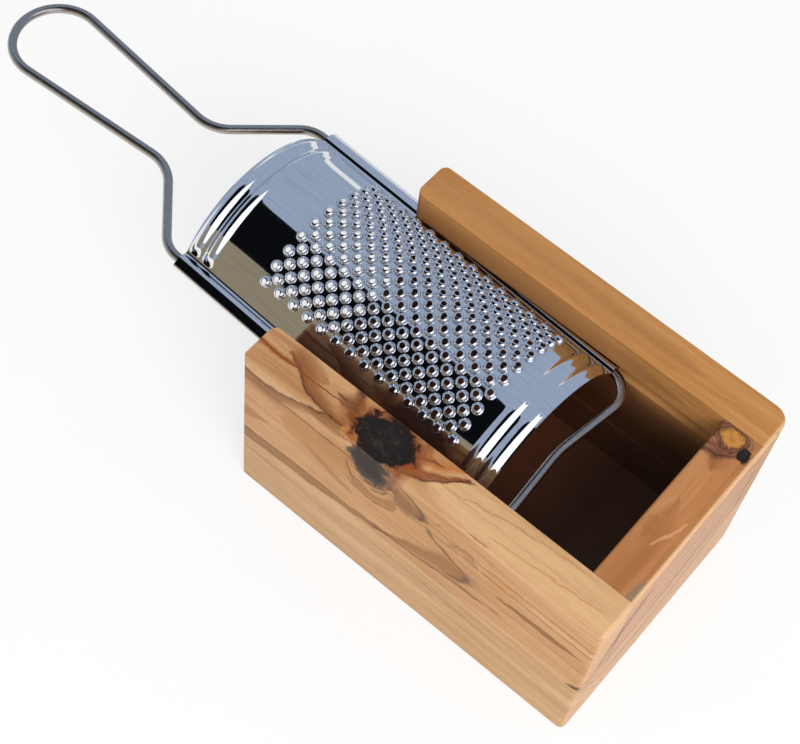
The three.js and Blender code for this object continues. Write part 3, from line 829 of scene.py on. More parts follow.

# The streaks are drawn one by one, each on the board's own face
JOINT_BAND = Streak(Profile.BAND, (
    (-46, 20.7, 2.7), (-41, 21.2, 2.5), (-36, 21.7, 2.3), (-30, 22.1, 2.4), (-25, 22.4, 2.3),
    (-20, 22.9, 1.7), (-15, 23.2, 1.2), (-10, 24.1, 1.0), (-5, 25.0, 0.8), (-2, 25.4, 0.0)),
    "#7C5232", "#94683E")
NEAR_STREAKS = (
    Streak(Profile.PATCH, (
        (-4, 56.5, 0), (6, 56.5, 6), (14, 56.5, 7.5), (46, 56.5, 7.5)), fill="#EEC896", strength=0.4),
    Streak(Profile.SMEAR, (
        (-35, 39, 0), (-31, 39, 7), (-26, 39, 10), (-21, 40, 12), (-18, 41, 10), (-15, 43, 0)),
        fill="#A9743F", strength=0.75),
    Streak(Profile.SMEAR, (
        (17, 41, 0), (20, 41, 5), (23, 41, 6), (26, 41, 4), (30, 41, 0)), fill="#BA8044", strength=0.6),
    JOINT_BAND,
    Streak(Profile.LINE, (
        (-29, 20.3, 0), (-27, 20.3, 0.6), (-25.5, 20.4, 0.5), (-24, 20.6, 0)), "#5E3C24"),
    Streak(Profile.PATCH, (
        (-8, 24.8, 0), (-3, 26.1, 1.3), (0, 27.5, 2.4), (4, 29.1, 3.5), (7, 30.8, 4.7), (9, 31.6, 5.2),
        (11, 31.5, 4.7), (13, 31.5, 3.7), (14.6, 31.8, 1.6), (15.2, 32, 0)), fill="#93663A"),
    Streak(Profile.LINE, (
        (-12, 23.6, 0), (-8, 24.2, 0.6), (-3, 25.0, 0.6), (3, 25.7, 0.7), (8, 26.7, 0.8),
        (13, 27.6, 0.8), (16, 27.8, 1.0), (18, 27.8, 0.8), (20, 27.9, 0)), "#6E4A30"),
    Streak(Profile.LINE, (
        (7.5, 28.0, 0), (10.5, 28.8, 1.2), (13.2, 29.8, 2.0), (14.6, 31.2, 2.6), (15.0, 32.6, 2.2),
        (14.3, 33.8, 1.8), (12.9, 34.8, 1.8), (11.0, 35.6, 1.8), (9.0, 36.6, 1.6), (7.2, 37.8, 1.2),
        (5.2, 38.9, 1.6), (3.8, 40.4, 1.0), (3.2, 41.4, 0)), "#694736", strength=0.95, across=True),
    Streak(Profile.SMEAR, (
        (12.6, 35.4, 0), (14.2, 35.0, 1.6), (16, 34.2, 1.6), (18.5, 33.0, 0)),
        fill="#93705C", strength=0.7),
    Streak(Profile.PATCH, (
        (-5.6, 44.5, 0), (-4.4, 44, 4.4), (-2, 43.3, 4.6), (0.2, 43.1, 3.4), (1.8, 43.2, 2.0),
        (2.7, 43.3, 0)), fill="#855D3A"),
    Streak(Profile.LINE, (
        (0.2, 41.0, 0), (1.6, 41.8, 1.6), (2.4, 43.2, 1.8), (2.1, 44.6, 1.6), (1.2, 45.8, 1.4),
        (-0.4, 46.8, 1.4), (-2.4, 47.7, 1.4), (-4.4, 48.6, 0)), "#5E3F2C", strength=0.95, across=True),
    Streak(Profile.PATCH, (
        (-16.8, 38.6, 0), (-15.4, 37.0, 1.4), (-13, 36.0, 1.7), (-10, 36.1, 1.7), (-7.4, 37.2, 1.9),
        (-5.4, 38.8, 2.6), (-3.8, 40.6, 0)), fill="#95693E", strength=0.9),
    Streak(Profile.LINE, (
        (-18, 43.5, 0), (-17, 41.8, 0.8), (-16.2, 39.6, 0.9), (-15.2, 38.3, 0.7), (-13.4, 37.8, 0.5),
        (-12, 37.2, 0.5), (-10.6, 36.8, 0)), "#5C3C2A"),
    Streak(Profile.LINE, (
        (-11, 38.4, 0), (-9.6, 39.0, 0.5), (-8.2, 40.0, 0.6), (-7, 41.4, 0.8), (-6.2, 42.6, 0)),
        "#64452E"),
    Streak(Profile.LINE, (
        (-18.5, 37, 0), (-16, 35.5, 0.5), (-13.5, 34.4, 0.6), (-10.5, 34.2, 0.6), (-8, 35.0, 0.6),
        (-5.6, 36.2, 0.6), (-4.4, 38.4, 0.8), (-3.8, 40.6, 0)), "#7A5434"),
    Streak(Profile.PATCH, (
        (-29, 36, 0), (-26, 34.8, 1.4), (-21, 32.8, 2.0), (-17, 31.2, 1.4), (-13.8, 30.3, 0)),
        fill="#9C6E3C", strength=0.75),
    Streak(Profile.PATCH, (
        (-46, 30.2, 3.4), (-43, 30.6, 2.6), (-40, 31.2, 1.4), (-37, 31.7, 0)),
        fill="#9F6C3C", strength=0.8),
    Streak(Profile.UNDER, (
        (-46, 48.0, 4.6), (-43, 47.5, 4.8), (-39, 46.9, 5.0), (-36, 47.3, 5.0), (-33, 48.7, 4.4),
        (-30, 50.2, 4.0), (-27, 51.3, 3.6), (-24, 52.3, 3.4), (-21, 52.8, 3.0), (-18, 52.9, 0)),
        "#5E3C28", "#8A5A33"),
    Streak(Profile.SMEAR, (
        (-28, 50.5, 0), (-24, 50.0, 2.2), (-19.5, 50.4, 1.6), (-17, 50.8, 0)), fill="#8C5726"),
    Streak(Profile.VEIN, (
        (-39, 58.6, 0), (-37, 57.7, 2.6), (-35, 56.8, 4.2), (-33, 55.8, 4.6), (-31, 54.6, 4.4),
        (-29, 53.7, 3.6), (-27, 53.2, 2.8), (-24, 52.9, 2.2), (-21, 52.6, 1.6), (-18, 52.6, 0)),
        "#54301F", "#86502A"),
    Streak(Profile.PATCH, (
        (-46, 56.4, 1.0), (-41, 56.5, 0.9), (-37, 56.6, 0.8), (-34, 56.4, 0)), fill="#955423"),
    Streak(Profile.PATCH, (
        (-46, 59.4, 1.0), (-42, 59.5, 0.9), (-38, 59.8, 1.2), (-34, 59.4, 2.2), (-30, 58.3, 1.8),
        (-27, 57.6, 0)), fill="#8E5328", strength=0.6),
    Streak(Profile.SMEAR, (
        (-26, 57.6, 0), (-24, 57.6, 1.5), (-21, 57.4, 3.6), (-18, 56.4, 3.4), (-15, 56, 0)),
        fill="#5E2E1A"),
    Streak(Profile.SMEAR, (
        (-20.5, 52.4, 0), (-18.8, 52.6, 1.5), (-17, 52.4, 1.6), (-15, 52, 0)),
        fill="#D09048", strength=0.9),
    Streak(Profile.SMEAR, (
        (-6.8, 42.5, 0), (-6.2, 45, 1.6), (-5.9, 47.5, 2.0), (-5.4, 50, 2.2), (-5.0, 53, 2.4),
        (-4.6, 56, 2.6), (-4.6, 61, 2.2)), fill="#5E3224", strength=0.9, across=True),
    Streak(Profile.LINE, (
        (-16.6, 52.4, 0), (-18.0, 53.6, 1.2), (-19.4, 55.2, 1.6), (-20.6, 57.4, 1.6),
        (-21.2, 59.4, 1.8), (-21.8, 61.0, 2.0)), "#3A1B12", across=True),
    Streak(Profile.PATCH, (
        (-7.6, 56.5, 0), (-6.4, 56.4, 4.6), (-5, 55.4, 3.2), (-3, 54.7, 1.8), (0, 56.0, 1.5),
        (2.4, 57.6, 1.4), (4.6, 59.2, 1.0), (6.4, 60.4, 0)), fill="#803C20"),
    Streak(Profile.SMEAR, (
        (-5, 60.2, 0), (-2.6, 58.4, 1.6), (0, 58.8, 2.2), (2.2, 60.2, 1.6), (4.4, 61, 0)),
        fill="#B26A2E"),
    Streak(Profile.LINE, (
        (-6, 52.4, 0), (-4, 53.2, 0.6), (-2, 53.8, 0.5), (0, 54.8, 0.5), (2, 56.3, 0.6), (4, 58.4, 0.6),
        (5.6, 59.7, 0.5), (8, 60.6, 0)), "#4C2615"),
    Streak(Profile.LINE, (
        (-6, 55.6, 0), (-4.6, 56.8, 0.8), (-3.2, 58.4, 0.7), (-1.2, 59.0, 0.5), (0.6, 59.2, 0)),
        "#5A2B18"),
    Streak(Profile.LINE, (
        (4, 55.6, 0), (8, 56.8, 0.25), (14, 57.8, 0.3), (20, 58.8, 0.3), (28, 59.6, 0.25), (36, 60.2, 0)),
        "#AC7440", strength=0.8),
    Streak(Profile.LINE, (
        (14, 53.4, 0), (20, 53.9, 0.3), (30, 54.8, 0.35), (38, 55.5, 0.3), (45, 56, 0)),
        "#B07A48", strength=0.7),
    Streak(Profile.PATCH, (
        (8.4, 41.4, 0), (10.6, 41.9, 1.5), (12.6, 42.2, 0.9), (14.4, 41.2, 2.2), (16.6, 40.8, 0)),
        fill="#A0744A", strength=0.8),
    Streak(Profile.LINE, (
        (9.2, 40.6, 0), (11, 42.6, 0.5), (13.2, 43.5, 0.5), (15, 42.8, 0.5), (15.8, 40.6, 0)),
        "#8A6240", strength=0.7),
    Streak(Profile.PATCH, ((4.8, 44.2, 0), (6, 45.2, 0.9), (7.2, 46, 0)), fill="#9A7048", strength=0.7),
    Streak(Profile.LINE, (
        (11.6, 51.2, 0), (13.4, 51.4, 0.4), (15, 51.3, 0.5), (18, 51.3, 0)), "#94693E"),
    Streak(Profile.BAND, (
        (21, 35.4, 0), (24, 35.6, 0.5), (28, 35.9, 1.0), (33, 36.1, 1.1), (38, 36.5, 0.9),
        (43.5, 36.8, 0)), "#78502E", "#8A5F36"),
    Streak(Profile.LINE, (
        (19, 28.9, 0), (21, 28.7, 0.5), (22.6, 28.7, 0.5), (24.5, 29.0, 0)), "#7C563A"),
    Streak(Profile.LINE, ((41.0, 22.8, 0), (43.2, 23.4, 1.1), (46, 24.6, 1.5)), "#2C180F"),
)
BASE_STREAKS = (
    JOINT_BAND,
    Streak(Profile.LINE, (
        (-46, 14.2, 0.2), (-20, 15.6, 0.3), (0, 16.4, 0.3), (20, 15.8, 0.3), (46, 13.0, 0.2)),
        "#A67C56", strength=0.8),
    Streak(Profile.LINE, (
        (-46, 9.8, 0.2), (-20, 11.5, 0.3), (0, 12.7, 0.35), (20, 12.4, 0.3), (46, 9.6, 0.2)),
        "#AB8058", strength=0.7),
    Streak(Profile.LINE, (
        (-10, 18.9, 0), (5, 19.4, 0.35), (20, 19.0, 0.3), (46, 18.4, 0.3)), "#A47A54", strength=0.8),
)
END_STREAKS = (
    Streak(Profile.SMEAR, (
        (-22, 56.5, 4.5), (-16, 56.5, 5), (-9, 57.0, 4.5), (-4, 57.5, 3), (2, 58, 0)),
        fill="#93582F", strength=0.7),
    Streak(Profile.SMEAR, (
        (-9.5, 58.4, 0), (-7.5, 58.8, 2.2), (-5.5, 59, 2.0), (-3.6, 59, 0)),
        fill="#8A5124", strength=0.45),
    Streak(Profile.SMEAR, (
        (-11, 56.8, 0), (-8, 55.6, 0.5), (-4, 54.0, 0.5), (-1, 53.0, 0)), fill="#DCA678", strength=0.8),
    Streak(Profile.SMEAR, (
        (-23, 52.6, 1.6), (-20, 52.6, 2.0), (-18, 52.4, 1.6), (-16, 51.6, 0)), fill="#85745C"),
    Streak(Profile.SMEAR, (
        (-22.6, 54.4, 0), (-21.8, 54.2, 0.8), (-21, 54, 0)), fill="#D08A3C", strength=0.6),
    Streak(Profile.SMEAR, ((10, 57, 0), (13, 57.5, 3.2), (15.5, 58, 3.8), (18, 57, 0)), fill="#8E5630"),
    Streak(Profile.LINE, (
        (19, 54.4, 0), (17, 55.0, 1.0), (15.4, 56.4, 1.4), (14.4, 58.5, 1.6), (13.6, 61.5, 1.4)),
        "#4A2826", across=True),
    Streak(Profile.LINE, (
        (20.5, 55.2, 0), (18.6, 55.8, 0.8), (17.0, 57, 1.0), (16.2, 59, 1.2), (15.4, 61.5, 1.2)),
        "#5C3430", across=True),
    Streak(Profile.SMEAR, (
        (15.4, 53.2, 0), (16.6, 53.4, 1.6), (18.4, 54.0, 1.9), (19.8, 54.8, 0)), fill="#1E1314"),
)
FAR_STREAKS = (
    Streak(Profile.SMEAR, (
        (-46, 56, 6), (-10, 56, 6), (16, 56, 4), (27, 56, 0)), fill="#8A5E38", strength=0.45),
)

# The veins of the closed end fan out from the base's near corner: each one's height there, its
# half width, its tone and its strength
END_FACE_VEINS = (
    (0.0, 0.5, "#86604F", 0.75), (2.6, 0.3, "#EACAA8", 0.8), (5.2, 1.3, "#825C50", 0.7),
    (7.0, 0.3, "#6E4A3E", 0.85), (11.5, 0.5, "#8E6652", 0.75), (13.0, 0.35, "#ECCEAE", 0.8),
    (15.2, 1.6, "#8A645A", 0.65), (17.4, 0.4, "#6A463A", 0.9), (21.6, 0.6, "#94705A", 0.65),
    (23.2, 0.4, "#7A544A", 0.85), (26.4, 0.3, "#E8C8A4", 0.8), (28.2, 1.2, "#866052", 0.65),
    (32.8, 0.4, "#745044", 0.85), (36.0, 0.9, "#9C745E", 0.65), (39.5, 0.4, "#7E584A", 0.75))
WIDE_VEIN = 0.9
# The stations of a vein: place across the box, height of the lowest vein, share of a vein's
# height, and share of its half width with the least half width
VEIN_STATIONS = (
    (-32, 21.6, 0.1, 0.0, 0.2), (-14, 6, 1.06, 1.0, 0.0), (8, 12, 1.0, 1.5, 0.0),
    (25, 24, 0.82, 0.8, 0.0), (33, 30, 0.72, 0.0, 0.2))


def vein(height: float, half_width: float, tone: str, strength: float) -> Streak:
    """Lay one vein across the closed end.

    Args:
        height: Its height in the fan in millimetres.
        half_width: Its half width in millimetres.
        tone: Its colour.
        strength: How much it covers.

    Returns:
        The vein.
    """
    points = tuple(
        (across, low + rise * height, share * half_width + least)
        for across, low, rise, share, least in VEIN_STATIONS)
    return Streak(
        Profile.SMEAR if half_width > WIDE_VEIN else Profile.LINE, points, tone, tone, strength)


END_FACE_STREAKS = (
    Streak(
        Profile.BAND, ((-30, 22.5, 0), (-26, 28, 1.6), (-22, 36, 2.6), (-17, 41, 2.2), (-12, 44, 0)),
        "#7A5450", "#94706A"),
    *(vein(*row) for row in END_FACE_VEINS),
)

NEAR_KNOTS = (
    Knot(-11.6, 56.2, 6.9, 5.1, BURNT_RING, ragged=1.2, bend=0.7, fleck="#4A2A1A"),
    Knot(-11.8, 47.2, 5.2, 6.6, GREY_KNOT, ragged=0.96, bend=0.3, fleck="#2A2422"),
    Knot(-11.6, 55.9, 6.7, 5.0, BLACK_KNOT, ragged=1.14, bend=0.0, fleck="#4A3A30"),
)
END_KNOTS = (
    Knot(19.3, 57.9, 2.5, 2.9, EYE_KNOT, ragged=0.9, bend=0.6, fleck="#4A2412"),
    Knot(17.5, 53.7, 1.9, 1.4, BLACK_KNOT, ragged=0.9, bend=0.0, fleck="#463E37"),
)

BASE_WOOD = OliveWood(
    "oiled olive wood, straight grained base", ("#A67A50", "#BC946A", "#C69F74", "#CFAA82"),
    end_tone="#DDB08C", shaded_hollow=(22.1, 35.05, 44.0), face_axis=(0, 0.22, 1), face_start=6.93, seed=3.0,
    streaks=BASE_STREAKS)
NEAR_WOOD = OliveWood(
    "oiled olive wood, knotty side board", ("#A27048", "#B9895C", "#C4966A", "#CFA57A"),
    end_tone="#DDB08C", shaded_hollow=(22.0, 60.0, 52.0), seed=11.0, streaks=NEAR_STREAKS, knots=NEAR_KNOTS)
FAR_WOOD = OliveWood(
    "oiled olive wood, plain side board", ("#A26D3A", "#B67F48", "#C18B54", "#CE9C66"),
    end_tone="#D8AE86", shaded_hollow=(22.0, 60.0, 44.0), face_axis=(0, -1, 1), seed=27.0, contrast=1.0,
    streaks=FAR_STREAKS)
END_WOOD = OliveWood(
    "oiled olive wood, end board", ("#94623A", "#AA7244", "#B57B4B", "#C18A5C"),
    end_tone="#DDB292", shaded_hollow=(60.0, 35.0, 44.0), along_axis=(0, 1, 0), face_axis=(-1, 0, 1),
    face_start=44.75, seed=41.0, streaks=END_STREAKS, knots=END_KNOTS)


# The box


@dataclass
class BoxSizes:
    """Sizes of the wooden box in millimetres."""

    length: float = 89.5
    width: float = 63.0
    height: float = 51.5
    side_wall: float = 9.5
    end_wall: float = 9.8
    base: float = 22.0
    glue: float = 0.06
    pocket_floor: float = 10.0
    pocket_rim: float = 9.5
    pocket_inset: float = 0.4
    pocket_corner: float = 4.0
    groove_floor: float = 39.95
    groove_height: float = 3.4
    groove_depth: float = 5.3

    @property
    def inner_half(self) -> float:
        """Half the room between the side walls."""
        return self.width / 2 - self.side_wall

    @property
    def end_face(self) -> float:
        """Where the end wall's inner face lies along the box."""
        return self.length / 2 - self.end_wall


@dataclass
class OliveBox:
    """The box of four glued boards, each a piece of its own."""

    sizes: BoxSizes = field(default_factory=BoxSizes)
    near_open_corner: float = 1.0
    near_closed_corner: float = 1.5
    far_closed_corner: float = 3.8
    far_open_corner: float = 1.6
    inner_corner: float = 1.8
    near_open_top: float = 3.0
    far_open_top: float = 1.4
    edge: float = 1.0
    inner_edge: float = 0.7
    pocket_segments: int = 8
    top_segments: int = 6
    smooth_angle: float = 25.0
    edge_reach: float = 0.5

    def build(self) -> list[bpy.types.Object]:
        """Make the four boards.

        Returns:
            The boards, each standing for its CAD node.
        """
        boards = [self.base(), self.side_wall(Side.NEAR), self.side_wall(Side.FAR), self.end_wall()]
        for board in boards:
            smooth_by_angle(board, self.smooth_angle)
        return boards

    @staticmethod
    def upright(x: float, y: float) -> Callable[[Vector, Vector], bool]:
        """Make a test for the upright edge at one corner.

        Args:
            x: The corner's place along the box in millimetres.
            y: The corner's place across the box in millimetres.

        Returns:
            The test on an edge's two ends.
        """
        corner = Vector((x * MM, y * MM))
        return lambda a, b: all((end.xy - corner).length < NEARLY * MM for end in (a, b))

    @staticmethod
    def level(
        z: float, keep: Callable[[Vector], bool] = lambda middle: True
    ) -> Callable[[Vector, Vector], bool]:
        """Make a test for the edges that lie at one height.

        Args:
            z: The height in millimetres.
            keep: A further test on an edge's middle.

        Returns:
            The test on an edge's two ends.
        """
        def wanted(a: Vector, b: Vector) -> bool:
            """Tell whether both ends lie at the height and the middle passes."""
            flat = all(abs(end.z - z * MM) < NEARLY / 2 * MM for end in (a, b))
            return flat and keep((a + b) / 2)
        return wanted

    def base(self) -> bpy.types.Object:
        """Make the base block with its milled pocket.

        Returns:
            The base.
        """
        s = self.sizes
        half_length, half_width = s.length / 2, s.width / 2
        board = block(
            "base_board", (-half_length, -half_width, 0), (half_length, half_width, s.base))
        corners = {
            (-half_length, -half_width): self.near_open_corner,
            (half_length, -half_width): self.near_closed_corner,
            (half_length, half_width): self.far_closed_corner,
            (-half_length, half_width): self.far_open_corner,
        }
        for (x, y), radius in corners.items():
            round_edges(board, self.upright(x, y), radius)
        round_edges(board, self.level(0), self.edge)
        half_pocket = s.inner_half - s.pocket_inset
        pocket = block(
            "pocket", (s.pocket_rim - half_length, -half_pocket, s.pocket_floor),
            (s.end_face - s.pocket_inset, half_pocket, s.base + 1))
        for x in (s.pocket_rim - half_length, s.end_face - s.pocket_inset):
            for y in (-half_pocket, half_pocket):
                round_edges(pocket, self.upright(x, y), s.pocket_corner, self.pocket_segments)
        cut(board, pocket)
        return board

    def side_wall(self, side: Side) -> bpy.types.Object:
        """Make one side wall with its stopped groove.

        Args:
            side: Which wall it is.

        Returns:
            The wall.
        """
        s = self.sizes
        half_length = s.length / 2
        outer = side.value * s.width / 2
        inner = side.value * s.inner_half
        near = side is Side.NEAR
        name = "near_wall_board" if near else "far_wall_board"
        low = (-half_length, min(outer, inner), s.base + s.glue)
        high = (half_length, max(outer, inner), s.height)
        board = block(name, low, high)
        open_corner = self.near_open_corner if near else self.far_open_corner
        closed_corner = self.near_closed_corner if near else self.far_closed_corner
        round_edges(board, self.upright(-half_length, outer), open_corner)
        round_edges(board, self.upright(half_length, outer), closed_corner)
        round_edges(board, self.upright(-half_length, inner), self.inner_corner)
        open_end = (-half_length + self.edge_reach) * MM
        top = self.near_open_top if near else self.far_open_top
        round_edges(
            board, self.level(s.height, lambda middle: middle.x < open_end), top, self.top_segments)
        round_edges(board, self.level(s.height), self.edge)
        groove_top = s.groove_floor + s.groove_height
        reach = side.value * (s.inner_half + s.groove_depth)
        start = side.value * (s.inner_half - 1)
        groove = block(
            "groove", (-half_length - 1, min(reach, start), s.groove_floor),
            (s.end_face, max(reach, start), groove_top))
        cut(board, groove)
        return board

    def end_wall(self) -> bpy.types.Object:
        """Make the end wall.

        Returns:
            The end wall.
        """
        s = self.sizes
        half = s.inner_half - s.glue
        board = block(
            "end_wall_board", (s.end_face, -half, s.base + s.glue), (s.length / 2, half, s.height))
        outer = (s.length / 2 - self.edge_reach) * MM
        inner = (s.end_face + self.edge_reach) * MM
        round_edges(board, self.level(s.height, lambda middle: middle.x > outer), self.edge)
        round_edges(board, self.level(s.height, lambda middle: middle.x < inner), self.inner_edge)
        return board


# The grater


@dataclass
class GraterSizes:
    """Sizes of the wire and the sheet in millimetres, and how the grater lies in the box."""

    wire: float = 2.1
    rail_into_groove: float = 0.07
    beyond_plate: float = 6.05
    cross_dip: float = 2.45
    cross_corner: float = 6.0
    cross_dip_radius: float = 25.0
    neck_length: float = 15.3
    neck_half: float = 6.56
    shoulder: float = 7.2
    neck: float = 9.8
    handle: float = 66.0
    handle_end: float = 10.0
    handle_lean: float = math.radians(1.76)
    wire_end_gap: float = 0.4
    plate: float = 81.55
    plate_start: float = 4.35
    sheet: float = 0.4
    running: float = 0.3
    arch_rise: float = 12.9
    valley: float = 0.77
    hem_start: float = math.radians(122)
    hem_end: float = math.radians(60)
    lip_flat: float = 1.2
    lip: float = 0.85
    lip_end: float = math.radians(-80)
    beads: int = 2
    bead_pitch: float = 3.7
    bead_height: float = 0.8
    bead_fade: float = 2.6
    tooth_pitch: float = 3.95
    row_pitch: float = 3.95
    tooth_height: float = 1.1
    lead_margin: float = 9.53
    teeth_per_row: int = 14
    rows_to_edge: int = 10
    drawn_out: float = 17.8
    side_shift: float = 1.13
    skew: float = math.radians(2.73)
    box: BoxSizes = field(default_factory=BoxSizes)

    @property
    def hem_inner(self) -> float:
        """Inner radius of the hem over the rail."""
        return self.wire / 2 + self.running

    @property
    def hem_outer(self) -> float:
        """Outer radius of the hem over the rail."""
        return self.hem_inner + self.sheet

    @property
    def half_span(self) -> float:
        """Half the distance between the rails."""
        return self.box.inner_half + self.rail_into_groove

    @property
    def rail_length(self) -> float:
        """Length of a rail from the shoulder to the cross wire."""
        return self.plate_start + self.plate + self.beyond_plate

    @property
    def plate_middle(self) -> float:
        """The sheet's middle along the rails."""
        return self.plate_start + self.plate / 2

    @property
    def plate_end(self) -> float:
        """The sheet's far end along the rails."""
        return self.plate_start + self.plate

    def placing(self) -> Matrix:
        """Find how the grater lies in the box.

        Returns:
            The matrix that puts the grater's own frame, in millimetres, in the box, in metres.
        """
        reach = (self.rail_length + self.wire / 2 - self.plate_middle) * math.cos(self.skew)
        reach += self.half_span * math.sin(self.skew)
        rail_height = self.box.groove_floor + self.running + self.wire / 2
        place = Vector((self.box.end_face - self.drawn_out - reach, self.side_shift, rail_height))
        turn = Matrix.Rotation(-self.skew, 4, "Z")
        to_middle = Matrix.Translation((-self.plate_middle, 0, 0))
        return Matrix.Scale(MM, 4) @ Matrix.Translation(place) @ turn @ to_middle


@dataclass
class BentWire:
    """The one wire that makes the handle, the rails and the cross wire."""

    sizes: GraterSizes = field(default_factory=GraterSizes)
    bend_steps: int = 14
    loop_steps: int = 48
    roundness: int = 10
    smooth_angle: float = 40.0

    @staticmethod
    def arc(centre: Vector, radius: float, start: float, turn: float, steps: int) -> list[Vector]:
        """List points along an arc.

        Args:
            centre: The arc's centre.
            radius: Its radius in millimetres.
            start: The angle where it starts.
            turn: The angle that it turns through, negative for clockwise.
            steps: How many stretches it has.

        Returns:
            The points, both ends among them.
        """
        angles = [start + turn * index / steps for index in range(steps + 1)]
        return [centre + radius * Vector((math.cos(angle), math.sin(angle))) for angle in angles]

    def bend(self, before: Vector, corner: Vector, after: Vector, radius: float) -> list[Vector]:
        """List points round the bend at a corner between two straights.

        Args:
            before: A point on the straight before the corner.
            corner: Where the two straights would meet.
            after: A point on the straight after the corner.
            radius: The bend's radius in millimetres.

        Returns:
            The points round the bend.
        """
        incoming = (corner - before).normalized()
        outgoing = (after - corner).normalized()
        way = math.copysign(1, incoming.x * outgoing.y - incoming.y * outgoing.x)
        turn = math.acos(max(-1.0, min(1.0, incoming.dot(outgoing))))
        start = corner - incoming * radius * math.tan(turn / 2)
        to_centre = Vector((-incoming.y, incoming.x)) * way * radius
        return self.arc(
            start + to_centre, radius, math.atan2(-to_centre.y, -to_centre.x), way * turn, self.bend_steps)

    def leaning(self, u: float, v: float) -> Vector:
        """Give a point of the handle, which leans a little to one side.

        Args:
            u: Place along the rails in millimetres, before the lean.
            v: Place across in millimetres, before the lean.

        Returns:
            The point turned about the middle between the shoulders.
        """
        return Matrix.Rotation(self.sizes.handle_lean, 2) @ Vector((u, v))

    def route(self) -> list[Vector]:
        """Lead the wire from its gap inside the near hem round the whole frame and back.

        Returns:
            The points of its middle line in the grater's plane.
        """
        s = self.sizes
        near_shoulder, far_shoulder = (Vector((0, side * s.half_span)) for side in (-1, 1))
        near_neck, far_neck = (
            self.leaning(-s.neck_length, side * s.neck_half) for side in (-1, 1))
        near_corner, far_corner = (
            Vector((s.rail_length, side * s.half_span)) for side in (-1, 1))
        dip = Vector((s.rail_length - s.cross_dip, 0))
        middle = s.handle_end - s.handle
        to_neck = Vector((-s.neck_length - middle, s.neck_half))
        tangent = math.atan2(to_neck.y, to_neck.x) + math.acos(s.handle_end / to_neck.length)
        touch_u = middle + s.handle_end * math.cos(tangent)
        touch_v = s.handle_end * math.sin(tangent)
        near_touch, far_touch = (self.leaning(touch_u, side * touch_v) for side in (-1, 1))
        loop = self.arc(
            self.leaning(middle, 0), s.handle_end, s.handle_lean - tangent, 2 * tangent - math.tau,
            self.loop_steps)
        start = Vector((s.plate_middle - s.wire_end_gap / 2, -s.half_span))
        finish = Vector((s.plate_middle + s.wire_end_gap / 2, -s.half_span))
        return [
            start,
            *self.bend(start, near_shoulder, near_neck, s.shoulder),
            *self.bend(near_shoulder, near_neck, near_touch, s.neck),
            *loop,
            *self.bend(far_touch, far_neck, far_shoulder, s.neck),
            *self.bend(far_neck, far_shoulder, far_corner, s.shoulder),
            *self.bend(far_shoulder, far_corner, dip, s.cross_corner),
            *self.bend(far_corner, dip, near_corner, s.cross_dip_radius),
            *self.bend(dip, near_corner, finish, s.cross_corner),
            finish,
        ]

    def build(self) -> bpy.types.Object:
        """Sweep the wire along its route and turn it to a mesh.

        Returns:
            The wire.
        """
        route = [self.sizes.placing() @ point.to_3d() for point in self.route()]
        line = bpy.data.curves.new("bent_wire", "CURVE")
        line.dimensions = "3D"
        line.bevel_depth = self.sizes.wire / 2 * MM
        line.bevel_resolution = self.roundness
        line.use_fill_caps = True
        spline = line.splines.new("POLY")
        spline.points.add(len(route) - 1)
        for point, place in zip(spline.points, route):
            point.co = (*place, 1)
        wire = bpy.data.objects.new("bent_wire", line)
        bpy.context.scene.collection.objects.link(wire)
        make_active(wire)
        bpy.ops.object.convert(target="MESH")
        smooth_by_angle(wire, self.smooth_angle)
        return wire


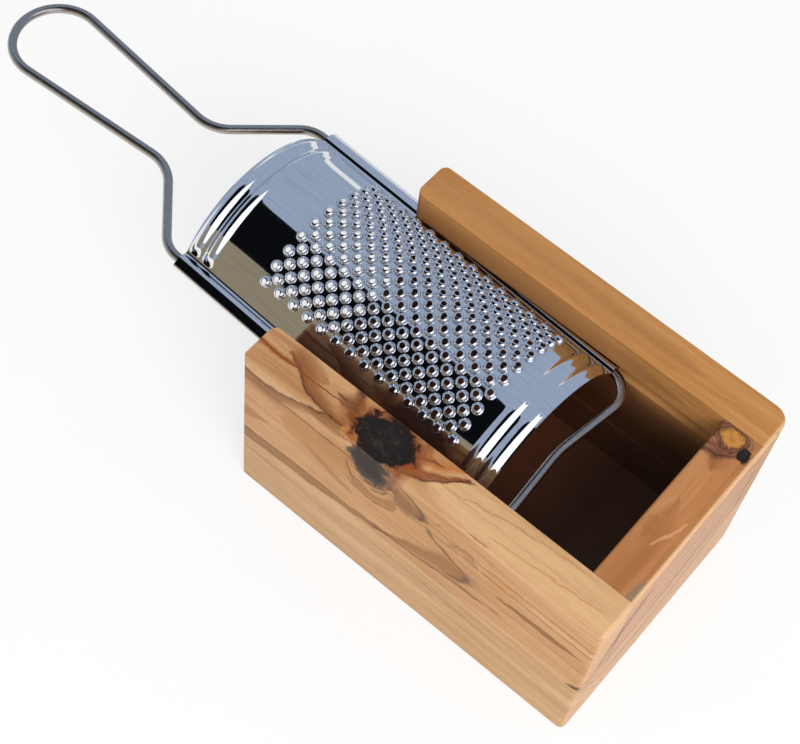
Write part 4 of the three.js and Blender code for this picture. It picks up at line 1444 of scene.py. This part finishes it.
@dataclass
class ToothedSheet:
    """The arched sheet with its pierced teeth, pressed beads and the hems over the rails."""

    sizes: GraterSizes = field(default_factory=GraterSizes)
    tooth_sides: int = 12
    bead_steps: int = 16
    valley_steps: int = 6
    hem_steps: int = 8
    lip_steps: int = 14
    side_steps: int = 6
    rim_share: float = 0.35
    burrs: int = 4
    burr_depth: float = 0.12
    burr_reach: float = 0.07
    least_burr: float = 0.5
    burr_rings: int = 2
    tooth_foot: tuple[tuple[float, float], ...] = ((1.34, 0.0), (1.27, 0.4), (1.07, 0.78), (0.84, 1.0))
    rim_radius: float = 0.6
    seed: int = 5
    lead_steps: int = 4
    smooth_angle: float = 50.0

    def __post_init__(self) -> None:
        """Work out the arch from the sizes, as the sheet's section needs it."""
        s = self.sizes
        reach = s.hem_outer + s.valley
        self.valley_centre = Vector((
            s.half_span + reach * math.cos(s.hem_start), reach * math.sin(s.hem_start)))
        crown = s.arch_rise - self.valley_centre.y
        self.radius = (self.valley_centre.x ** 2 + crown ** 2 - s.valley ** 2) / (2 * (crown + s.valley))
        self.centre_height = s.arch_rise - self.radius
        self.end_angle = math.atan2(self.valley_centre.x, self.valley_centre.y - self.centre_height)
        self.half_row = s.row_pitch / 2 / self.radius
        self.field_start = s.plate_start + s.beads * s.bead_pitch + s.lead_margin
        self.field_end = self.field_start + s.teeth_per_row * s.tooth_pitch
        self.placing = s.placing()
        self.points: list[Vector] = []
        self.faces: list[list[int]] = []
        self.thin: list[int] = []
        self.known: dict[tuple[int, int, int], int] = {}
        self.chance = random.Random(self.seed)

    def corner(self, u: float, v: float, w: float) -> int:
        """Give the number of the corner at a place in the grater's frame, adding it if it is new.

        Args:
            u: Place along the rails in millimetres.
            v: Place across in millimetres.
            w: Height above the rails' plane in millimetres.

        Returns:
            The corner's number.
        """
        key = tuple(round(value / MM) for value in (u, v, w))
        if key not in self.known:
            self.known[key] = len(self.points)
            self.points.append(self.placing @ Vector((u, v, w)))
        return self.known[key]

    def on_arch(self, u: float, angle: float, lift: float = 0.0) -> int:
        """Give the corner at an angle from the arch's crown.

        Args:
            u: Place along the rails in millimetres.
            angle: Angle from the crown.
            lift: Height above the arch's outer face in millimetres.

        Returns:
            The corner's number.
        """
        radius = self.radius + lift
        return self.corner(u, radius * math.sin(angle), self.centre_height + radius * math.cos(angle))

    def tooth_profile(self) -> list[tuple[float, float]]:
        """List radius and height of a tooth's rings from its foot to its rim, in millimetres."""
        return [*self.tooth_foot, (self.rim_radius, self.sizes.tooth_height)]

    def tooth(self, u: float, angle: float) -> None:
        """Add one tooth in its lozenge of sheet.

        Args:
            u: The tooth's place along the rails in millimetres.
            angle: Its angle from the crown.
        """
        sides = self.tooth_sides
        half_u, half_v = self.sizes.tooth_pitch / 2, self.half_row * self.radius
        bearings = [math.tau * index / sides for index in range(sides)]
        rings = [[]]
        for bearing in bearings:
            along, across = math.cos(bearing), math.sin(bearing)
            reach = 1 / (abs(along) / half_u + abs(across) / half_v)
            rings[0].append(self.on_arch(u + reach * along, angle + reach * across / self.radius))
        profile = self.tooth_profile()
        turn, depth = self.chance.uniform(0, math.tau), self.chance.uniform(self.least_burr, 1.0)
        for place, (radius, height) in enumerate(profile):
            share = max(0.0, (place + self.burr_rings - len(profile)) / self.burr_rings)
            ring = []
            for bearing in bearings:
                wave = math.cos(self.burrs * bearing + turn) * depth
                reach = radius + share * self.burr_reach * (wave + self.chance.uniform(-0.5, 0.5))
                lift = height - share * self.burr_depth * (1 - wave) / 2
                across = reach * math.sin(bearing) / self.radius
                ring.append(self.on_arch(u + reach * math.cos(bearing), angle + across, lift))
            rings.append(ring)
        for outside, inside in zip(rings, rings[1:]):
            for index in range(sides):
                after = (index + 1) % sides
                self.faces.append([outside[index], outside[after], inside[after], inside[index]])
        self.thin.extend(rings[-1])

    def teeth(self) -> None:
        """Add the chequerboard of teeth."""
        s = self.sizes
        for row in range(1 - s.rows_to_edge, s.rows_to_edge):
            whole = (row + s.rows_to_edge) % 2 != 0
            first = self.field_start + s.tooth_pitch * (0.5 if whole else 1)
            for index in range(s.teeth_per_row if whole else s.teeth_per_row - 1):
                self.tooth(first + index * s.tooth_pitch, row * self.half_row)

    def fan(self, hub: int, rim: list[int]) -> None:
        """Add a fan of triangles.

        Args:
            hub: The corner that they share.
            rim: The corners along the fan's edge, anticlockwise as seen from outside.
        """
        for first, second in zip(rim, rim[1:]):
            self.faces.append([hub, first, second])

    def lozenge_side(self, start: tuple[float, float], end: tuple[float, float]) -> list[int]:
        """List the corners along one side of a lozenge, as the tooth beside it has them.

        Args:
            start: Place along and angle of the side's first end.
            end: Place along and angle of its second end.

        Returns:
            The corners, both ends among them.
        """
        per_side = self.tooth_sides // 4
        bearings = [math.pi / 2 * index / per_side for index in range(per_side + 1)]
        half_u, half_v = self.sizes.tooth_pitch / 2, self.half_row * self.radius
        shares = []
        for bearing in bearings:
            reach = 1 / (math.cos(bearing) / half_u + math.sin(bearing) / half_v)
            shares.append(reach * math.sin(bearing) / half_v)
        return [
            self.on_arch(start[0] + (end[0] - start[0]) * share, start[1] + (end[1] - start[1]) * share)
            for share in shares]

    def border(self) -> None:
        """Fill the notches round the field of teeth, so that its border is straight."""
        s = self.sizes
        step = s.tooth_pitch / 2
        edge = s.rows_to_edge * self.half_row
        inner = edge - self.half_row
        for index in range(s.rows_to_edge - 1):
            low = (2 * index + 1 - s.rows_to_edge) * self.half_row
            middle, high = low + self.half_row, low + 2 * self.half_row
            for start, inward in ((self.field_start, 1), (self.field_end, -1)):
                hub = self.on_arch(start, middle)
                rim = self.lozenge_side((start, low), (start + inward * step, middle))
                rim += self.lozenge_side((start + inward * step, middle), (start, high))[1:]
                self.fan(hub, rim if inward > 0 else rim[::-1])
        for index in range(1, s.teeth_per_row):
            notch = self.field_start + index * s.tooth_pitch
            for side in (-1, 1):
                hub = self.on_arch(notch, side * edge)
                rim = self.lozenge_side((notch - step, side * edge), (notch, side * inner))
                rim += self.lozenge_side((notch, side * inner), (notch + step, side * edge))[1:]
                self.fan(hub, rim if side > 0 else rim[::-1])
        for start, inward in ((self.field_start, 1), (self.field_end, -1)):
            for side in (-1, 1):
                hub = self.on_arch(start, side * edge)
                rim = self.lozenge_side((start, side * inner), (start + inward * step, side * edge))
                self.fan(hub, rim if inward * side > 0 else rim[::-1])

    def bead_lift(self, u: float, angle: float) -> float:
        """Give the beads' height at a place on the arch.

        Args:
            u: Place along the rails in millimetres.
            angle: Angle from the crown.

        Returns:
            The height in millimetres.
        """
        s = self.sizes
        from_end = min(u - s.plate_start, s.plate_end - u)
        if from_end >= s.beads * s.bead_pitch:
            return 0.0
        share = min(1.0, max(0.0, (self.end_angle - abs(angle)) * self.radius / s.bead_fade))
        fade = share * share * (3 - 2 * share)
        return s.bead_height * fade * (1 - math.cos(math.tau * from_end / s.bead_pitch)) / 2

    def grid(self, lines: Sequence[float], angles: Sequence[float]) -> None:
        """Add a plain or beaded stretch of the arch.

        Args:
            lines: Places along the rails of the grid's cross lines.
            angles: Angles of its long lines.
        """
        corners = [
            [self.on_arch(u, angle, self.bead_lift(u, angle)) for angle in angles] for u in lines]
        for before, after in zip(corners, corners[1:]):
            for index in range(len(angles) - 1):
                self.faces.append([before[index], after[index], after[index + 1], before[index + 1]])

    def edge_section(self) -> list[Callable[[float, int], int]]:
        """List makers of the corners beyond the arch's edge: the valley, the hem and the lip.

        Returns:
            Functions that take a place along the rails and a side, -1 or 1.
        """
        s = self.sizes
        hem_centre = Vector((s.half_span, 0))
        valley_start = -math.pi / 2 - self.end_angle
        valley_turn = s.hem_start - math.pi - valley_start
        places = []
        for index in range(1, self.valley_steps):
            angle = valley_start + valley_turn * index / self.valley_steps
            places.append(self.valley_centre + s.valley * Vector((math.cos(angle), math.sin(angle))))
        for index in range(self.hem_steps + 1):
            angle = s.hem_start + (s.hem_end - s.hem_start) * index / self.hem_steps
            places.append(hem_centre + s.hem_outer * Vector((math.cos(angle), math.sin(angle))))
        normal = Vector((math.cos(s.hem_end), math.sin(s.hem_end)))
        outwards = Vector((normal.y, -normal.x))
        lip_centre = hem_centre + (s.hem_outer - s.lip) * normal + s.lip_flat * outwards
        for index in range(self.lip_steps + 1):
            angle = s.hem_end + (s.lip_end - s.hem_end) * index / self.lip_steps
            places.append(lip_centre + s.lip * Vector((math.cos(angle), math.sin(angle))))
        return [lambda u, side, at=at: self.corner(u, side * at.x, at.y) for at in places]

    def stretches(self) -> tuple[list[float], list[float], list[float]]:
        """Divide the sheet's length into three stretches.

        Returns:
            The cross lines before, along and after the field of teeth.
        """
        s = self.sizes
        band = s.beads * s.bead_pitch
        steps = s.beads * self.bead_steps
        beads = [index * band / steps for index in range(steps + 1)]
        plain = [
            band + s.lead_margin * index / self.lead_steps for index in range(1, self.lead_steps)]
        start = [s.plate_start + place for place in beads + plain] + [self.field_start]
        half = s.tooth_pitch / 2
        middle = [self.field_start + index * half for index in range(2 * s.teeth_per_row + 1)]
        end = [self.field_end] + [s.plate_end - place for place in reversed(beads)]
        return start, middle, end

    def build(self) -> bpy.types.Object:
        """Make the sheet's outer face, then give it its thickness inwards.

        Returns:
            The sheet.
        """
        s = self.sizes
        self.teeth()
        self.border()
        start, middle, end = self.stretches()
        edge = s.rows_to_edge * self.half_row
        rows = [index * self.half_row for index in range(-s.rows_to_edge, s.rows_to_edge + 1)]
        spread = self.end_angle - edge
        side = [edge + spread * index / self.side_steps for index in range(1, self.side_steps + 1)]
        across = [-angle for angle in reversed(side)] + rows + side
        self.grid(start, across)
        self.grid(end, across)
        self.grid(middle, [edge, *side])
        self.grid(middle, [-angle for angle in reversed([edge, *side])])
        lines = start + middle[1:-1] + end
        for way in (-1, 1):
            before = [self.on_arch(u, way * self.end_angle) for u in lines]
            for maker in self.edge_section():
                after = [maker(u, way) for u in lines]
                for index in range(len(lines) - 1):
                    face = [before[index], before[index + 1], after[index + 1], after[index]]
                    self.faces.append(face if way > 0 else face[::-1])
                before = after
        sheet = mesh_piece("toothed_sheet", self.points, self.faces)
        thickness = sheet.vertex_groups.new(name="thickness")
        thickness.add(list(range(len(self.points))), 1.0, "REPLACE")
        thickness.add(self.thin, self.rim_share, "REPLACE")
        apply_modifier(
            sheet, "SOLIDIFY", "sheet", thickness=s.sheet * MM, offset=-1.0, use_even_offset=False,
            vertex_group="thickness", use_rim=True)
        smooth_by_angle(sheet, self.smooth_angle)
        return sheet


# The studio


@dataclass(frozen=True)
class Lamp:
    """One soft square lamp: its place and side in metres and its power in watts."""

    name: str
    place: tuple[float, float, float]
    size: float
    power: float
    aim: tuple[float, float, float] = (0, 0, 0.02)

    def build(self) -> None:
        """Add the lamp, unseen by mirrors."""
        data = bpy.data.lights.new(self.name, "AREA")
        data.size = self.size
        data.energy = self.power
        lamp = bpy.data.objects.new(self.name, data)
        lamp.location = self.place
        lamp.rotation_euler = (Vector(self.aim) - Vector(self.place)).to_track_quat("-Z", "Y").to_euler()
        lamp.visible_glossy = False
        bpy.context.scene.collection.objects.link(lamp)


@dataclass(frozen=True)
class Card:
    """One glowing card that only mirrors see: its place and size in metres, and what it faces."""

    name: str
    place: tuple[float, float, float]
    size: tuple[float, float]
    colour: str
    strength: float = 1.0
    aim: tuple[float, float, float] = (0, 0, 0.05)

    def build(self) -> None:
        """Add the card."""
        deselect_all()
        turn = (Vector(self.aim) - Vector(self.place)).to_track_quat("Z", "Y").to_euler()
        bpy.ops.mesh.primitive_plane_add(size=1, location=self.place, rotation=turn)
        card = bpy.context.object
        card.name = self.name
        card.scale = (*self.size, 1)
        tree = Tree(bpy.data.materials.new(self.name))
        glow = tree.add("ShaderNodeEmission", linear(self.colour), self.strength)
        tree.add("ShaderNodeOutputMaterial", glow)
        card.data.materials.append(tree.owner)
        for sight in ("camera", "diffuse", "shadow", "transmission", "volume_scatter"):
            setattr(card, f"visible_{sight}", False)
        card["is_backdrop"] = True


LAMPS = (
    Lamp("window", place=(0.62, -0.42, 0.78), size=0.5, power=6.8),
    Lamp("fill", place=(0.1, -0.9, 0.7), size=0.6, power=2),
)
CARDS = (
    Card("dark_ceiling", (-0.3, -0.64, 1.0), (1.5, 1.25), "#0C0D10", aim=(-0.3, -0.64, 0.0)),
    Card("beige_wall", (-0.3, -1.27, 0.5), (1.7, 1.0), "#958A75", aim=(-0.3, 0.0, 0.5)),
    Card("bright_window", (1.12, -0.57, 0.93), (1.9, 1.3), "#F4F4FF", strength=1.6),
    Card("blue_wall_foot", (-0.1, 0.17, 0.0005), (0.5, 0.26), "#9CABC2", aim=(-0.1, 0.17, 1.0)),
)


@dataclass
class Studio:
    """The pale floor, the soft light and the camera at the photograph's angle."""

    azimuth: float = math.radians(32.190)
    elevation: float = math.radians(60.059)
    roll: float = math.radians(9.008)
    place: tuple[float, float, float] = (76.8, -166.3, 365.0)
    focal_pixels: float = 1836.65
    sensor: float = 36.0
    room_light: float = 0.7
    floor_glow: float = 1.0
    floor_shadow: float = 0.3
    floor_size: float = 6.0
    nearest: float = 0.01
    farthest: float = 10.0

    def camera(self) -> None:
        """Add the camera where the photograph's fitted one stands."""
        data = bpy.data.cameras.new("camera")
        data.sensor_fit = "HORIZONTAL"
        data.sensor_width = self.sensor
        data.lens = self.focal_pixels / IMAGE_WIDTH * self.sensor
        data.clip_start = self.nearest
        data.clip_end = self.farthest
        camera = bpy.data.objects.new("camera", data)
        forward = Vector((
            -math.sin(self.azimuth) * math.cos(self.elevation),
            math.cos(self.azimuth) * math.cos(self.elevation),
            -math.sin(self.elevation)))
        right = forward.cross(Vector((0, 0, 1))).normalized()
        up = right.cross(forward)
        turned_right = right * math.cos(self.roll) + up * math.sin(self.roll)
        turned_up = up * math.cos(self.roll) - right * math.sin(self.roll)
        rotation = Matrix((turned_right, turned_up, -forward)).transposed().to_4x4()
        camera.matrix_world = Matrix.Translation(Vector(self.place) * MM) @ rotation
        bpy.context.scene.collection.objects.link(camera)
        bpy.context.scene.camera = camera

    def floor(self) -> None:
        """Add the pale floor, white to the camera and still holding the object's shadow."""
        deselect_all()
        bpy.ops.mesh.primitive_plane_add(size=self.floor_size, location=(0, 0, 0))
        floor = bpy.context.object
        floor.name = "floor"
        tree = Tree(bpy.data.materials.new("white paper sweep"))
        add = tree.add
        paper = add("ShaderNodeBsdfDiffuse", linear("#F4F4F2"))
        glow = add("ShaderNodeEmission", linear("#FFFFFF"), self.floor_glow)
        seen = self.seen_directly(tree)
        lit = add("ShaderNodeMixShader", 1 - self.floor_shadow, paper, glow)
        add("ShaderNodeOutputMaterial", add("ShaderNodeMixShader", seen, paper, lit))
        floor.data.materials.append(tree.owner)
        floor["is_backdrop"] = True

    @staticmethod
    def seen_directly(tree: Tree) -> bpy.types.Node:
        """Add the nodes that tell rays of the camera, of mirrors and of glass from all others.

        Args:
            tree: The floor's node tree.

        Returns:
            The node that is 1 for such a ray.
        """
        path = tree.add("ShaderNodeLightPath").outputs
        seen = tree.add(MATH, path["Is Camera Ray"], path["Is Glossy Ray"], operation="MAXIMUM")
        return tree.add(MATH, seen, path["Is Transmission Ray"], operation="MAXIMUM")

    def world(self) -> None:
        """Fill the room with an even pale light, which mirrors see as a blue-grey sky."""
        world = bpy.data.worlds.new("room")
        bpy.context.scene.world = world
        tree = Tree(world)
        add = tree.add
        path = add("ShaderNodeLightPath").outputs
        light = add("ShaderNodeBackground", linear("#EEF0F4"), self.room_light)
        mirrored = add("ShaderNodeBackground", linear("#9FAEC6"), 1.0)
        white = add("ShaderNodeBackground", linear("#FFFFFF"), 1.0)
        seen = add("ShaderNodeMixShader", path["Is Glossy Ray"], light, mirrored)
        add("ShaderNodeOutputWorld", add("ShaderNodeMixShader", path["Is Camera Ray"], seen, white))

    def build(self) -> None:
        """Set up the whole studio."""
        bpy.context.scene.view_settings.view_transform = "Standard"
        self.camera()
        self.floor()
        self.world()
        for light in (*LAMPS, *CARDS):
            light.build()


def corners(box: tuple[Vector, Vector]) -> list[list[float]]:
    """Turn a box's two corners to plain lists.

    Args:
        box: The lowest and the highest corner.

    Returns:
        The same corners as lists of numbers.
    """
    return [list(box[0]), list(box[1])]


def hand_over(
    piece: bpy.types.Object, finish: OliveWood | Steel, body: Body, node: str
) -> None:
    """Dress a piece and say which node it stands for.

    Args:
        piece: The piece.
        finish: Its finish.
        body: The body that it moves with.
        node: The node that it stands for.
    """
    finish.dress(piece)
    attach(piece, body.value)
    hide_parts(node)
    LOG.info("%s stands for %s with %d faces", piece.name, node, len(piece.data.polygons))


def main() -> None:
    """Build the object around the frame, piece by piece."""
    logging.basicConfig(level=logging.INFO, format="%(name)s: %(message)s")
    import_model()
    cad_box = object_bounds()
    Studio().build()
    base, near, far, end = OliveBox().build()
    hand_over(base, BASE_WOOD, Body.BOX, "base_block")
    hand_over(near, NEAR_WOOD, Body.BOX, "near_side_wall")
    hand_over(far, FAR_WOOD, Body.BOX, "far_side_wall")
    hand_over(end, END_WOOD, Body.BOX, "end_wall")
    hand_over(BentWire().build(), WIRE_STEEL, Body.GRATER, "wire_frame")
    hand_over(ToothedSheet().build(), SHEET_STEEL, Body.GRATER, "grater_plate")
    {"cad": corners(cad_box), "visual": corners(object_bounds())}


if __name__ == "__main__":
    main()
